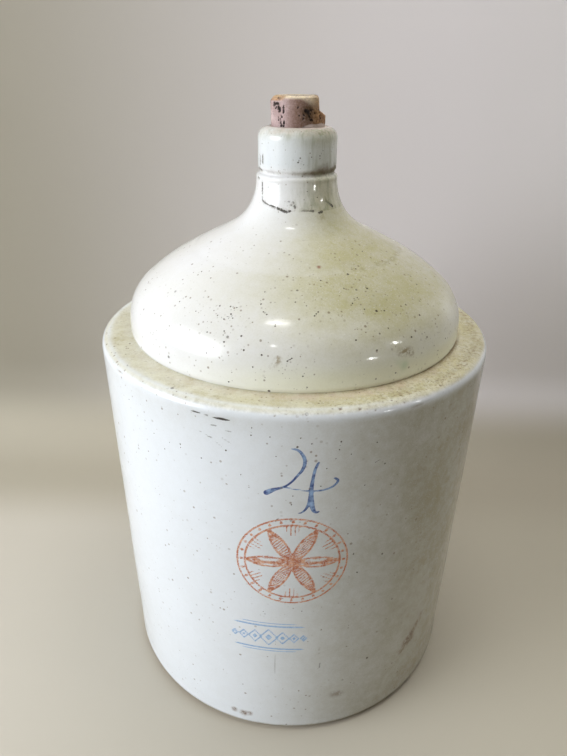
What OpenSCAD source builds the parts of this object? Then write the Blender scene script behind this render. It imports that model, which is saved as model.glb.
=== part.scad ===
// Stoneware shoulder jug with a cork, built as its potter made it:
// a moulded crock, a turned dome luted onto its ledge, a neck with a collar
// luted onto the dome, a pulled strap handle, and a tapered cork.
// The origin is the centre of the base, +Z is up and the front faces -Y.

/* [Crock body] */
// Height of the flat ledge above the table
body_height = 283; // [240:1:330]
// Widest radius, at the rim
rim_radius = 140; // [132:0.5:156]
// Radius of the wall where it meets the rounded foot
wall_foot_radius = 136.5; // [130:0.5:150]
// Thickness of the wall
body_wall = 11; // [8:0.5:14]
// Thickness of the floor
floor_thick = 12; // [8:0.5:20]
// Rounding of the foot, outside
foot_round = 8.5; // [4:0.5:11]
// Rounding between floor and wall, inside
floor_fillet = 14; // [6:1:24]
// Rounding of the outer rim
rim_round = 6; // [3:0.5:9]
// Thickness of the ledge at its inner lip
ledge_thick = 12; // [9:0.5:18]

/* [Shoulder dome] */
// Radius of the dome where it stands on the ledge
dome_radius = 119; // [112:0.5:124]
// Thickness of the dome
dome_wall = 9; // [7:0.5:11]
// Height of the upright stretch at the dome's foot
dome_upright = 9.5; // [4:0.5:16]
// Radius of the shoulder's curve
shoulder_curve_radius = 33; // [28:1:40]
// Turn of the shoulder's curve, in degrees
shoulder_turn = 48.5; // [44:0.5:52]
// Radius of the flatter curve above the shoulder
crown_curve_radius = 158; // [145:1:170]
// Turn of the flatter curve, in degrees
crown_turn = 14.7; // [12:0.1:17]
// Radius of the hollow curve into the neck
throat_curve_radius = 35.5; // [31:0.5:40]
// How far the dome's lower edge tucks in at the ledge
tuck_depth = 1.6; // [0.5:0.1:3]
// Height of that tuck above the ledge
tuck_height = 4; // [2:0.5:7]
// Depth of the rebate in the ledge that seats the dome
seat_depth = 3; // [1:0.5:6]
// Slip layer left all round where clay sections socket together
slip_gap = 0.2; // [0.1:0.1:0.5]

/* [Neck and collar] */
// Radius of the neck where the hollow curve ends
neck_radius = 27.9; // [26:0.1:30]
// Lean of the neck there, in degrees
neck_lean = 6.7; // [5:0.1:9]
// Radius of the faint curve up the neck
neck_curve_radius = 235; // [180:5:300]
// Turn of the faint curve up the neck, in degrees
neck_turn = 5.5; // [5:0.1:6]
// Place on the hollow curve of the joint between dome and neck, in degrees below its middle
joint_angle = 27.5; // [24:0.5:32]
// Thickness of the dome's rim round the socket that takes the neck's spigot
socket_wall = 2.6; // [1.8:0.1:3.4]
// Depth of that socket
socket_depth = 5; // [3:0.5:6]
// Height of the groove under the collar, above the joint
groove_rise = 21.5; // [18:0.5:26]
// Radius of the neck over the ridge just below the groove
ridge_radius = 27.7; // [27:0.1:29]
// Rounding of that ridge
ridge_round = 2.4; // [1.6:0.1:3]
// Distance of the ridge below the groove
ridge_drop = 3.6; // [3:0.1:5]
// Radius of the groove's section
groove_round = 1.8; // [1:0.1:2.5]
// Depth of the groove into the collar
groove_depth = 1; // [0.5:0.1:1.6]
// Radius of the collar
collar_radius = 26.4; // [25:0.1:28]
// Height of the collar above the groove
collar_height = 27.5; // [20:0.5:32]
// Rounding of the lip, outside
lip_round = 7; // [2:0.5:8]
// Radius of the mouth's bore
mouth_radius = 17.8; // [15:0.1:19]
// Rounding of the mouth's edge
mouth_round = 1.4; // [0.6:0.1:2]
// Height over which the bore opens out below the collar
bore_flare = 14; // [10:1:18]

/* [Strap handle] */
// Width of the strap
strap_width = 34; // [24:1:40]
// Thickness of the strap
strap_thick = 13; // [10:0.5:16]
// Radius of the strap's bend, to the middle of the clay
strap_bend = 36; // [33:0.5:38]
// Distance of the bend's centre behind the neck
strap_reach = 24; // [22:0.5:27]
// Distance of the bend's centre below the top of the throat's curve
strap_drop = 33; // [31:0.5:35]
// Turn of the bend, in degrees
strap_turn = 150; // [142:1:156]
// Length of the straight leg that comes down on the dome
strap_leg = 24; // [20:1:30]

/* [Cork stopper] */
// Length of the cork
cork_length = 40; // [32:1:50]
// Length of the cork above the lip
cork_proud = 18; // [10:0.5:24]
// Gap between the cork and the mouth
cork_gap = 0.3; // [0.2:0.1:0.5]
// Slope of the cork's side, in degrees
cork_taper = 2.5; // [0:0.5:5]
// Worn rounding of the cork's edges
cork_edge = 1; // [0.5:0.1:1.6]
// How far in the broken chunk reaches at the top
break_reach = 5.8; // [2:0.1:7]
// Height of the broken chunk
break_height = 12; // [6:0.5:14]
// Direction of the broken chunk, in degrees from the right
break_side = 0; // [-40:1:40]

/* [Hidden] */
// Steps in each arc of a turned outline
arc_steps = 10;
// Steps in each small rounding
round_steps = 6;
// Overrun of a cut past the faces it opens
overrun = 2;
// Share of the chunk's height that its lower, sloping face takes
break_slope_share = 0.25;
// Share of the chunk's reach at the top of that face
break_waist_share = 0.85;
$fn = 96;

inner_foot = dome_radius - dome_wall;
seat_height = body_height - seat_depth;
tuck_radius = dome_radius - tuck_depth;
slope_angle = shoulder_turn + crown_turn;
cork_lip_radius = mouth_radius - cork_gap;
half_turn = 180;
quarter_turn = 90;

// A point at a distance and an angle from the origin
function polar(radius, angle) = radius * [cos(angle), sin(angle)];

// Points of an arc about a centre, leaving out the first, which ends the stretch before it
function arc_on(centre, radius, from, to, steps) =
    [for (i = [1:steps]) centre + polar(radius, from + (to - from) * i / steps)];

// Centres of the dome's four curves, each tangent to the one before. A straight slope
// joins the crown to the throat, as long as it takes to reach the neck's radius.
shoulder_centre = [dome_radius - shoulder_curve_radius, body_height + dome_upright];
crown_centre = shoulder_centre + polar(shoulder_curve_radius - crown_curve_radius, shoulder_turn);
slope_foot = crown_centre + polar(crown_curve_radius, slope_angle);
throat_axis = neck_radius + throat_curve_radius * cos(neck_lean);
slope_run = (slope_foot[0] + throat_curve_radius * cos(slope_angle) - throat_axis) / sin(slope_angle);
slope_head = slope_foot + polar(slope_run, slope_angle + quarter_turn);
throat_centre = slope_head + polar(throat_curve_radius, slope_angle);
neck_centre = throat_centre + polar(neck_curve_radius - throat_curve_radius, neck_lean);

// Heights up the neck, from the joint on the throat's curve to the cork
neck_joint = throat_centre[1] - throat_curve_radius * sin(joint_angle);
socket_radius = throat_centre[0] - throat_curve_radius * cos(joint_angle) - socket_wall;
groove_height = neck_joint + groove_rise;
ridge_height = groove_height - ridge_drop;
lip_height = groove_height + collar_height;
cork_bottom = lip_height + cork_proud - cork_length;

// The ogee from the dome's foot to the neck, set in by the thickness of the clay
function ogee(inset) = concat(
    [[dome_radius - inset, seat_height],
     [dome_radius - inset, shoulder_centre[1]]],
    arc_on(shoulder_centre, shoulder_curve_radius - inset, 0, shoulder_turn, arc_steps),
    arc_on(crown_centre, crown_curve_radius - inset, shoulder_turn, slope_angle, arc_steps),
    [throat_centre - polar(throat_curve_radius + inset, slope_angle)],
    arc_on(throat_centre, throat_curve_radius + inset, slope_angle + half_turn,
           neck_lean + half_turn, arc_steps),
    arc_on(neck_centre, neck_curve_radius + inset, neck_lean + half_turn,
           neck_lean - neck_turn + half_turn, arc_steps));

// Radius of the throat's curve at a height, set in by a thickness
function throat_radius(height, inset) = throat_centre[0]
    - sqrt(pow(throat_curve_radius + inset, 2) - pow(throat_centre[1] - height, 2));

// The ogee filled in to the axis, to turn or to cut with
module ogee_fill(inset, low) {
    curve = ogee(inset);
    polygon(concat([[0, low], [dome_radius - inset, low]], curve, [[0, curve[len(curve) - 1][1]]]));
}

// Section of the ridge that finishes the neck under the groove
module ridge_section() {
    translate([ridge_radius - ridge_round, ridge_height]) circle(r = ridge_round);
}

// A ring of rectangular section, from one radius and height to another
module ring(inner, outer, low, high) {
    translate([inner, low]) square([outer - inner, high - low]);
}

// Straight-walled crock: rounded foot, rounded rim, and a ledge turned in to carry the dome
module crock_body() {
    wall_lean = (rim_radius - wall_foot_radius) / (body_height - rim_round - foot_round);
    inner_top = rim_radius - body_wall;
    inner_low = wall_foot_radius - body_wall + wall_lean * (floor_thick + floor_fillet - foot_round);
    ledge_under = body_height - ledge_thick;
    color("whitesmoke") rotate_extrude() difference() {
        polygon(concat(
            [[0, 0], [wall_foot_radius - foot_round, 0]],
            arc_on([wall_foot_radius - foot_round, foot_round], foot_round,
                   -quarter_turn, 0, round_steps),
            [[rim_radius, body_height - rim_round]],
            arc_on([rim_radius - rim_round, body_height - rim_round], rim_round,
                   0, quarter_turn, round_steps),
            [[0, body_height]]));
        polygon(concat(
            [[0, floor_thick], [inner_low - floor_fillet, floor_thick]],
            arc_on([inner_low - floor_fillet, floor_thick + floor_fillet], floor_fillet,
                   -quarter_turn, 0, round_steps),
            [[inner_top, ledge_under - (inner_top - inner_foot)],
             [inner_foot, ledge_under],
             [inner_foot, body_height + overrun],
             [0, body_height + overrun]]));
        ring(0, tuck_radius + slip_gap, seat_height, body_height + overrun);
    }
}

// Ogee dome of even thickness, its lower edge tucked in to the rebate on the ledge,
// with a socket in its throat for the neck
module shoulder_dome() {
    tuck_curve = (pow(tuck_height, 2) + pow(tuck_depth, 2)) / (2 * tuck_depth);
    tuck_turn = asin(tuck_height / tuck_curve);
    color("ivory") rotate_extrude() difference() {
        intersection() {
            ogee_fill(0, seat_height);
            ring(0, dome_radius, seat_height, neck_joint);
        }
        ogee_fill(dome_wall, seat_height - overrun);
        ring(0, socket_radius, neck_joint - socket_depth, neck_joint + overrun);
        polygon(concat(
            [[dome_radius + overrun, seat_height - overrun], [tuck_radius, seat_height - overrun],
             [tuck_radius, body_height]],
            arc_on([dome_radius - tuck_curve, body_height + tuck_height], tuck_curve,
                   -tuck_turn, 0, round_steps),
            [[dome_radius + overrun, body_height + tuck_height]]));
    }
}

// Short neck and thick collar, with a spigot below and the mouth's bore through it
module neck_collar() {
    spigot_foot = neck_joint - socket_depth;
    spigot_bore = throat_radius(spigot_foot, dome_wall);
    flare_top = spigot_foot + bore_flare;
    color("ghostwhite") rotate_extrude() difference() {
        union() {
            intersection() {
                ogee_fill(0, seat_height);
                ring(0, dome_radius, neck_joint, ridge_height);
            }
            ridge_section();
            ring(0, ridge_radius - ridge_round, ridge_height, groove_height);
            ring(0, socket_radius - slip_gap, spigot_foot, neck_joint);
            polygon(concat(
                [[0, groove_height], [collar_radius, groove_height],
                 [collar_radius, lip_height - lip_round]],
                arc_on([collar_radius - lip_round, lip_height - lip_round], lip_round,
                       0, quarter_turn, round_steps),
                [[0, lip_height]]));
        }
        polygon(concat(
            [[0, spigot_foot - overrun], [spigot_bore, spigot_foot - overrun],
             [spigot_bore, spigot_foot], [mouth_radius, flare_top],
             [mouth_radius, lip_height - mouth_round]],
            arc_on([mouth_radius + mouth_round, lip_height - mouth_round], mouth_round,
                   half_turn, quarter_turn, round_steps),
            [[mouth_radius + mouth_round, lip_height + overrun], [0, lip_height + overrun]]));
        translate([collar_radius - groove_depth + groove_round, groove_height])
            circle(r = groove_round);
    }
}

// Section of the strap: flat faces with full-round edges
module strap_section() {
    edge = strap_thick / 2;
    shoulder = strap_width / 2 - edge;
    square([strap_thick, 2 * shoulder], center = true);
    for (side = [-1, 1]) translate([0, side * shoulder]) circle(r = edge);
}

// Strap handle from under the collar, over and down onto the dome behind the neck,
// with both ends cut to the clay they are pressed against
module strap_handle() {
    color("linen") difference() {
        translate([0, neck_radius + strap_reach, throat_centre[1] - strap_drop]) {
            rotate([quarter_turn, 0, quarter_turn])
                rotate_extrude(angle = strap_turn) translate([strap_bend, 0]) strap_section();
            translate([0, strap_bend, -strap_leg])
                linear_extrude(strap_leg) rotate(quarter_turn) strap_section();
        }
        rotate_extrude() {
            ogee_fill(0, seat_height);
            ridge_section();
        }
    }
}

// Tapered cork with worn edges and a chunk broken off one side of its top
module cork_stopper() {
    spread = tan(cork_taper);
    top_radius = cork_lip_radius + cork_proud * spread;
    foot_radius = cork_lip_radius - (cork_length - cork_proud) * spread;
    cork_top = cork_bottom + cork_length;
    break_foot = cork_top - break_height;
    break_waist = break_foot + break_height * break_slope_share;
    color("peru") difference() {
        rotate_extrude() polygon([
            [0, cork_bottom], [foot_radius - cork_edge, cork_bottom],
            [foot_radius, cork_bottom + cork_edge], [top_radius, cork_top - cork_edge],
            [top_radius - cork_edge, cork_top], [0, cork_top]]);
        rotate(break_side) rotate([quarter_turn, 0, 0])
            linear_extrude(2 * top_radius + 2 * overrun, center = true) polygon([
                [top_radius - break_reach, cork_top + overrun],
                [top_radius - break_reach * break_waist_share, break_waist],
                [top_radius + overrun, break_foot - overrun],
                [top_radius + overrun, cork_top + overrun]]);
    }
}

crock_body();
shoulder_dome();
neck_collar();
strap_handle();
cork_stopper();
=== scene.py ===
import bpy
import numpy as np
from mathutils import Matrix, Quaternion, Vector


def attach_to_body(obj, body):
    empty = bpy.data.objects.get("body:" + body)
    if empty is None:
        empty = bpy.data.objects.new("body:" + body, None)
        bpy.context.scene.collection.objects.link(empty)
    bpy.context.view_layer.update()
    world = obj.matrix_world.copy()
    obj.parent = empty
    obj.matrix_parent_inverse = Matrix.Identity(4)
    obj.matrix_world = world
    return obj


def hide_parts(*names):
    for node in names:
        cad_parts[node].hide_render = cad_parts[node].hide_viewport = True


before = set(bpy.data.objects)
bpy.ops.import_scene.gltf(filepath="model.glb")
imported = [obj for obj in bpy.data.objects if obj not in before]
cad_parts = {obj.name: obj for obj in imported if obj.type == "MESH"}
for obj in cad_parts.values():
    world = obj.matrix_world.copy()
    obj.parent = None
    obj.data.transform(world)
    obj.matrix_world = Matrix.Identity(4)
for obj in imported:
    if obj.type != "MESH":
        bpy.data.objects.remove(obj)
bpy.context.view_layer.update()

# The looks of a stoneware shoulder jug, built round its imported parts. The crock, the dome, the
# neck and the cork are profiles turned about the jug's axis, and the handle is a swept strap, all
# worked out with numpy. Every mark on the glaze is either an attribute that says how deep or how
# strong the mark is at a point, or a shader pattern on Object coordinates. Lengths are in metres.
# Angles are in degrees, turned from the front of the jug (-Y) and growing to the right (+X). A
# profile is a row of (radius, height) points.

MM = 0.001

# Sizes of the crock
LEDGE_HEIGHT = 283 * MM
RIM_RADIUS = 140 * MM
WALL_FOOT_RADIUS = 136.5 * MM
BODY_WALL = 11 * MM
FLOOR_THICK = 12 * MM
FOOT_ROUND = 8.5 * MM
FLOOR_FILLET = 14 * MM
RIM_ROUND = 6 * MM
LEDGE_THICK = 12 * MM
SEAT_DEPTH = 3 * MM
SLIP_GAP = 0.2 * MM
EDGE_ROUND = 0.6 * MM

# Sizes of the shoulder dome
DOME_RADIUS = 119 * MM
DOME_WALL = 9 * MM
DOME_UPRIGHT = 9.5 * MM
SHOULDER_CURVE = 33 * MM
SHOULDER_TURN = 48.5
CROWN_CURVE = 158 * MM
CROWN_TURN = 14.7
THROAT_CURVE = 35.5 * MM
TUCK_DEPTH = 1.6 * MM
TUCK_HEIGHT = 4 * MM

# Sizes of the neck and collar
NECK_RADIUS = 27.9 * MM
NECK_LEAN = 6.7
NECK_CURVE = 235 * MM
JOINT_ANGLE = 27.5
SOCKET_WALL = 2.6 * MM
SOCKET_DEPTH = 5 * MM
GROOVE_RISE = 21.5 * MM
GROOVE_ROUND = 1.8 * MM
GROOVE_DEPTH = 1 * MM
RIDGE_RADIUS = 27.7 * MM
RIDGE_ROUND = 2.4 * MM
RIDGE_DROP = 3.6 * MM
COLLAR_RADIUS = 26.4 * MM
COLLAR_HEIGHT = 27.5 * MM
LIP_ROUND = 7 * MM
MOUTH_RADIUS = 17.8 * MM
MOUTH_ROUND = 1.4 * MM
BORE_FLARE = 14 * MM

# Sizes of the strap handle
STRAP_WIDTH = 34 * MM
STRAP_THICK = 13 * MM
STRAP_BEND = 36 * MM
STRAP_REACH = 24 * MM
STRAP_DROP = 33 * MM
STRAP_TURN = 146
STRAP_LEG = 22 * MM
STRAP_SQUARENESS = 2.6
STRAP_FLARE = 3.2 * MM
STRAP_FLARE_REACH = 2.6 * MM

# Sizes of the cork
CORK_LENGTH = 40 * MM
CORK_PROUD = 18 * MM
CORK_GAP = 0.3 * MM
CORK_TAPER = 2.5
CORK_EDGE = 1 * MM
BREAK_REACH = 5.8 * MM
BREAK_HEIGHT = 12 * MM
BREAK_SIDE = 90
BREAK_SLOPE_SHARE = 0.25
BREAK_WAIST_SHARE = 0.85
TOP_BEVEL_HEIGHT = 3.4 * MM
TOP_BEVEL_SLOPE = 0.8
PORES = 70

# The crock's rows and columns are finest where the marks are painted: how far apart the rows lie
# there, the height where that starts, and the angles that it lies between
CROCK_STEP = 1.05 * MM
CROCK_FINE_FROM = 76 * MM
CROCK_FINE_LEFT, CROCK_FINE_RIGHT = -37, 27

# How far the clay's unevenness reaches in, and the fillet of glaze where the dome stands
CLAY_UNEVEN = 0.4 * MM
JOINT_FILLET = 0.9 * MM
JOINT_FILLET_REACH = 3.4 * MM

# Relief of glaze and bark, which the shaders add as bump, and the farthest reach of a listed speck
CROCK_FLOW = 0.16 * MM
DOME_FLOW = 0.18 * MM
NECK_FLOW = 0.12 * MM
HANDLE_FLOW = 0.2 * MM
ORANGE_PEEL = 0.02 * MM
PINHOLE_DEPTH = 0.25 * MM
SKIP_DEPTH = 0.3 * MM
BARK_RELIEF = 0.6 * MM
BARK_PIT_DEPTH = 0.8 * MM
SPECK_REACH = 2.4 * MM
SPECK_WOBBLE = 0.6 * MM

# Size of the sweep behind the jug, the camera that was fitted to the photograph, and the lamps' aim
SWEEP_FROM = 200 * MM
SWEEP_CURVE = 100 * MM
SWEEP_TOP = 1100 * MM
SWEEP_HALF = 2400 * MM
FLOOR_REACH = 4000 * MM
FLOOR_DROP = 0.4 * MM
CAMERA_PLACE = (0, -0.4228, 0.4490)
CAMERA_PITCH, CAMERA_YAW, CAMERA_ROLL = 27.04, -1.003, 0.722
PICTURE_HEIGHT, FOCAL_PIXELS = 756, 600
LAMP_AIM = Vector((0, 0, 250 * MM))


# Curves and surfaces

def polar(radius, angle):
    """Radius times (cos, sin) of an angle in degrees."""
    turn = np.radians(angle)
    return radius * np.array([np.cos(turn), np.sin(turn)])


def arc(centre, radius, start, stop, spacing):
    """Arc: the centre plus radius times (cos t, sin t), for t in even steps from start to stop."""
    steps = max(4, int(np.ceil(abs(np.radians(stop - start)) * radius / spacing)) + 1)
    turn = np.radians(np.linspace(start, stop, steps))
    return np.asarray(centre) + radius * np.column_stack([np.cos(turn), np.sin(turn)])


def straight(start, stop, spacing):
    """Even steps from start to stop, both included."""
    start, stop = np.asarray(start, float), np.asarray(stop, float)
    steps = max(2, int(np.ceil(np.linalg.norm(stop - start) / spacing)) + 1)
    return start + (stop - start) * np.linspace(0, 1, steps)[:, None]


def chain(*stretches):
    """Stretches laid end to end as one row of points, without the first point of each but the first."""
    return np.vstack([stretches[0], *[points[1:] for points in stretches[1:]]])


def soften(points, passes):
    """Round a row's corners: each pass takes a quarter, a half and a quarter of three neighbours."""
    out = points.copy()
    for _ in range(passes):
        out[1:-1] = 0.25 * out[:-2] + 0.5 * out[1:-1] + 0.25 * out[2:]
    return out


def outline(stretches, loop):
    """Join stretches, each (points, give), into one profile and the push that each point allows.

    The push is the give times the outward normal, which is the stretch's own direction turned
    a quarter to the right. A point shared by two stretches stays with the one that gives more.
    """
    count = len(stretches)
    first, last = [0] * count, [len(points) for points, _ in stretches]
    for one in range(count if loop else count - 1):
        other = (one + 1) % count
        if stretches[one][1] >= stretches[other][1]:
            first[other] = 1
        else:
            last[one] -= 1
    profile, push = [], []
    for (points, give), a, b in zip(stretches, first, last):
        run = np.gradient(points, axis=0)
        run /= np.linalg.norm(run, axis=1)[:, None]
        profile.append(points[a:b])
        push.append(give * np.column_stack([run[:, 1], -run[:, 0]])[a:b])
    return np.vstack(profile), np.vstack(push)


def angles_round(fine_from, fine_to, fine_step, coarse_step):
    """Angles once round the jug, close together on one stretch and wider apart on the rest."""
    fine = np.arange(fine_from, fine_to, fine_step)
    steps = int(np.ceil((fine_from + 360 - fine_to) / coarse_step))
    return np.concatenate([fine, np.linspace(fine_to, fine_from + 360, steps, endpoint=False)])


def around(angle):
    """The same angle, from -180 to 180."""
    return (angle + 180) % 360 - 180


def step(value, low, high):
    """Smooth step: 0 below low, 1 above high, and 3t squared less 2t cubed between."""
    t = np.clip((value - low) / (high - low), 0, 1)
    return t * t * (3 - 2 * t)


def bell(value, centre, reach):
    """1 at the centre, and exp(-(distance over reach) squared) to both sides."""
    return np.exp(-((value - centre) / reach) ** 2)


def wander(angle, height, seed, waves=7, turns=5, rise=90 * MM):
    """Sum of sine waves, from 0 to 1, each of whole turns and of a slope and a phase drawn at random."""
    draw = np.random.default_rng(seed)
    total = np.zeros(np.broadcast(angle, height).shape)
    for _ in range(waves):
        count = draw.integers(0, turns + 1)
        climb = draw.uniform(-1, 1) * 2 * np.pi / rise
        total = total + np.sin(count * np.radians(angle) + climb * height + draw.uniform(0, 2 * np.pi))
    return 0.5 + 0.5 * np.clip(total / (0.6 * waves), -1, 1)


def clay(angle, height):
    """Unevenness of the clay, the same slow wander on every piece so that joints stay flush."""
    return CLAY_UNEVEN * wander(angle, height, seed=4)


def cast(angle, height):
    """How yellow the glaze is, from 0 to 1.

    One row of values is read off round the dome and one round the neck, each times a row up
    the jug, and one round the lip. Dome and neck are blended where the neck rises.
    """
    a, z = around(angle), height / MM
    dome = np.interp(a, [-180, -60, -30, -12, 0, 14, 28, 46, 70, 110, 180],
                     [0.45, 0.06, 0.19, 0.36, 0.56, 0.84, 1, 1, 0.9, 0.6, 0.45])
    dome = dome * np.interp(z, [283, 290, 300, 312, 322, 345, 360], [0.06, 0.16, 0.4, 0.74, 0.94, 1.02, 1])
    neck = np.interp(a, [-180, -60, -10, 10, 30, 50, 80, 120, 180],
                     [0.4, 0, 0.12, 0.35, 0.75, 0.8, 0.7, 0.5, 0.4])
    neck = neck * np.interp(z, [370, 380, 388, 394, 405, 412], [1, 0.85, 0.85, 0.55, 0.55, 1.1])
    lip = step(z, 408, 415) * np.interp(a, [-180, -90, -40, 0, 40, 180], [0.5, 0.25, 0.3, 0.5, 1, 0.5])
    return np.minimum(dome + (np.maximum(neck, lip) - dome) * step(z, 350, 374), 1)


def turn(profile, push, angles, depth):
    """Profile turned about the axis: (r sin a, -r cos a, z), its points moved in by depth times push."""
    radius = profile[:, :1] - depth * push[:, :1]
    height = profile[:, 1:] - depth * push[:, 1:]
    a = np.radians(angles)[None, :]
    return np.stack([radius * np.sin(a), -radius * np.cos(a), height * np.ones_like(a)], axis=2)


def skin(name, grid, loop=False, sharp=50):
    """Mesh object over a grid of points, rows by columns, the columns closed round.

    With loop the rows close too. Otherwise the first and the last row are each closed by a
    fan to their middle. Faces are turned over if the volume that they enclose is negative.
    """
    rows, columns = grid.shape[:2]
    points = grid.reshape(-1, 3)
    pairs = np.arange(rows if loop else rows - 1)[:, None]
    near, far = pairs * columns, (pairs + 1) % rows * columns
    here = np.arange(columns)
    beside = (here + 1) % columns
    quads = np.stack([near + here, near + beside, far + beside, far + here], axis=2).reshape(-1, 4)
    fans = np.zeros((0, 3), int)
    if not loop:
        low, high, top = len(points), len(points) + 1, (rows - 1) * columns
        points = np.vstack([points, grid[0].mean(axis=0), grid[-1].mean(axis=0)])
        fans = np.vstack([
            np.column_stack([beside, here, np.full(columns, low)]),
            np.column_stack([top + here, top + beside, np.full(columns, high)])])
    corner = points[np.vstack([quads[:, [0, 1, 2]], quads[:, [0, 2, 3]], fans])]
    if np.einsum("ij,ij->", corner[:, 0], np.cross(corner[:, 1], corner[:, 2])) < 0:
        quads, fans = quads[:, ::-1], fans[:, ::-1]
    sizes = np.concatenate([np.full(len(quads), 4), np.full(len(fans), 3)])
    mesh = bpy.data.meshes.new(name)
    mesh.vertices.add(len(points))
    mesh.vertices.foreach_set("co", points.ravel())
    mesh.loops.add(int(sizes.sum()))
    mesh.loops.foreach_set("vertex_index", np.concatenate([quads.ravel(), fans.ravel()]))
    mesh.polygons.add(len(sizes))
    mesh.polygons.foreach_set("loop_start", np.concatenate([[0], np.cumsum(sizes)[:-1]]))
    mesh.update(calc_edges=True)
    mesh.polygons.foreach_set("use_smooth", np.ones(len(sizes), bool))
    mesh.set_sharp_from_angle(angle=np.radians(sharp))
    piece = bpy.data.objects.new(name, mesh)
    bpy.context.collection.objects.link(piece)
    return piece


def paint(piece, grid, **marks):
    """Store named numbers or vectors for a grid's points; a pole takes the mean of the row beside it."""
    mesh = piece.data
    for name, values in marks.items():
        vector = np.ndim(values) == 3
        values = np.broadcast_to(values, grid.shape if vector else grid.shape[:2])
        flat = values.reshape(-1, 3) if vector else values.reshape(-1)
        if len(mesh.vertices) > len(flat):
            flat = np.concatenate([flat, values[:1].mean(axis=1), values[-1:].mean(axis=1)])
        layer = mesh.attributes.new(name, "FLOAT_VECTOR" if vector else "FLOAT", "POINT")
        layer.data.foreach_set("vector" if vector else "value", flat.ravel().astype(np.float32))


def attach(piece, body, node, material):
    """Give a finished piece its material, fasten it to its body and hide the imported node that it stands in
    for.
    """
    piece.data.materials.append(material)
    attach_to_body(piece, body)
    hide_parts(node)


# Marks on the glaze

def round_off(path, passes=2):
    """Cut a path's corners: each pass puts two points on every stretch, a quarter from its ends."""
    points = np.asarray(path, float)
    for _ in range(passes):
        near, far = points[:-1], points[1:]
        cut = np.stack([0.75 * near + 0.25 * far, 0.25 * near + 0.75 * far], axis=1)
        points = np.vstack([points[:1], cut.reshape(-1, points.shape[1]), points[-1:]])
    return points


def strokes(along, up, paths):
    """How deep each place lies inside the deepest of some strokes, in mm, and the brush's load there.

    A path's points are (along, up, half width, load), in mm. On each straight stretch the
    nearest point is the projection held between its ends, and the depth is the half width
    there less the distance to it.
    """
    shape = np.broadcast(along, up).shape
    depth, load = np.full(shape, -1e3), np.zeros(shape)
    for path in paths:
        points = round_off(path)
        for a, b in zip(points[:-1], points[1:]):
            run = b[:2] - a[:2]
            share = ((along - a[0]) * run[0] + (up - a[1]) * run[1]) / max(run @ run, 1e-9)
            share = np.clip(share, 0, 1)
            gap = np.hypot(along - a[0] - share * run[0], up - a[1] - share * run[1])
            here = a[2] + share * (b[2] - a[2]) - gap
            load = np.where(here > depth, a[3] + share * (b[3] - a[3]), load)
            depth = np.maximum(depth, here)
    return depth, load


def spots(grid, places):
    """Sum of soft spots: strength times exp(-(distance over size) squared).

    A place is (angle, radius, height, size, strength), in degrees and mm.
    """
    total = np.zeros(grid.shape[:2])
    for angle, radius, height, size, strength in places:
        a = np.radians(angle)
        centre = np.array([radius * np.sin(a), -radius * np.cos(a), height]) * MM
        total += strength * bell(np.linalg.norm(grid - centre, axis=2), 0, size * MM)
    return total


def mark_specks(piece, grid, angles, outer_rows, specks):
    """Store for each point the place and size of the nearest listed speck, and how far off it is.

    A speck is (angle, height, size) in degrees and mm, put on the outer rows of the surface.
    The shader measures the distance to the stored place, so a speck that is smaller than the
    mesh's faces is still round.
    """
    centres = []
    for angle, height, _ in specks:
        column = grid[:outer_rows, np.argmin(np.abs(around(angles - angle)))]
        radius = np.interp(height * MM, column[:, 2], np.hypot(column[:, 0], column[:, 1]))
        a = np.radians(angle)
        centres.append([radius * np.sin(a), -radius * np.cos(a), height * MM])
    centres = np.array(centres)
    away = np.full(grid.shape[:2], 1e3)
    nearest = np.zeros(grid.shape[:2], int)
    for number, centre in enumerate(centres):
        gap = np.linalg.norm(grid - centre, axis=2)
        nearest = np.where(gap < away, number, nearest)
        away = np.minimum(away, gap)
    sizes = np.array([speck[2] for speck in specks])[nearest] * MM
    paint(piece, grid, speck_place=centres[nearest], speck_size=sizes, speck_gap=away)


# Curves of the dome and neck, each tangent to the one before

seat_height = LEDGE_HEIGHT - SEAT_DEPTH
inner_foot = DOME_RADIUS - DOME_WALL
slope_angle = SHOULDER_TURN + CROWN_TURN
shoulder_centre = np.array([DOME_RADIUS - SHOULDER_CURVE, LEDGE_HEIGHT + DOME_UPRIGHT])
crown_centre = shoulder_centre + polar(SHOULDER_CURVE - CROWN_CURVE, SHOULDER_TURN)
slope_foot = crown_centre + polar(CROWN_CURVE, slope_angle)
throat_axis = NECK_RADIUS + polar(THROAT_CURVE, NECK_LEAN)[0]
slope_run = (slope_foot[0] + polar(THROAT_CURVE, slope_angle)[0] - throat_axis) / polar(1, slope_angle)[1]
slope_head = slope_foot + polar(slope_run, slope_angle + 90)
throat_centre = slope_head + polar(THROAT_CURVE, slope_angle)
neck_centre = throat_centre + polar(NECK_CURVE - THROAT_CURVE, NECK_LEAN)
neck_joint = throat_centre - polar(THROAT_CURVE, JOINT_ANGLE)
socket_radius = neck_joint[0] - SOCKET_WALL
spigot_foot = neck_joint[1] - SOCKET_DEPTH
spigot_angle = np.degrees(np.arcsin((throat_centre[1] - spigot_foot) / (THROAT_CURVE + DOME_WALL)))
spigot_bore = (throat_centre - polar(THROAT_CURVE + DOME_WALL, spigot_angle))[0]
groove_height = neck_joint[1] + GROOVE_RISE
ridge_height = groove_height - RIDGE_DROP
lip_height = groove_height + COLLAR_HEIGHT


def ogee(spacing):
    """The dome's outside from the top of its upright foot: shoulder, crown and straight slope."""
    return chain(
        arc(shoulder_centre, SHOULDER_CURVE, 0, SHOULDER_TURN, spacing),
        arc(crown_centre, CROWN_CURVE, SHOULDER_TURN, slope_angle, spacing),
        straight(slope_foot, slope_head, spacing))


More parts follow.
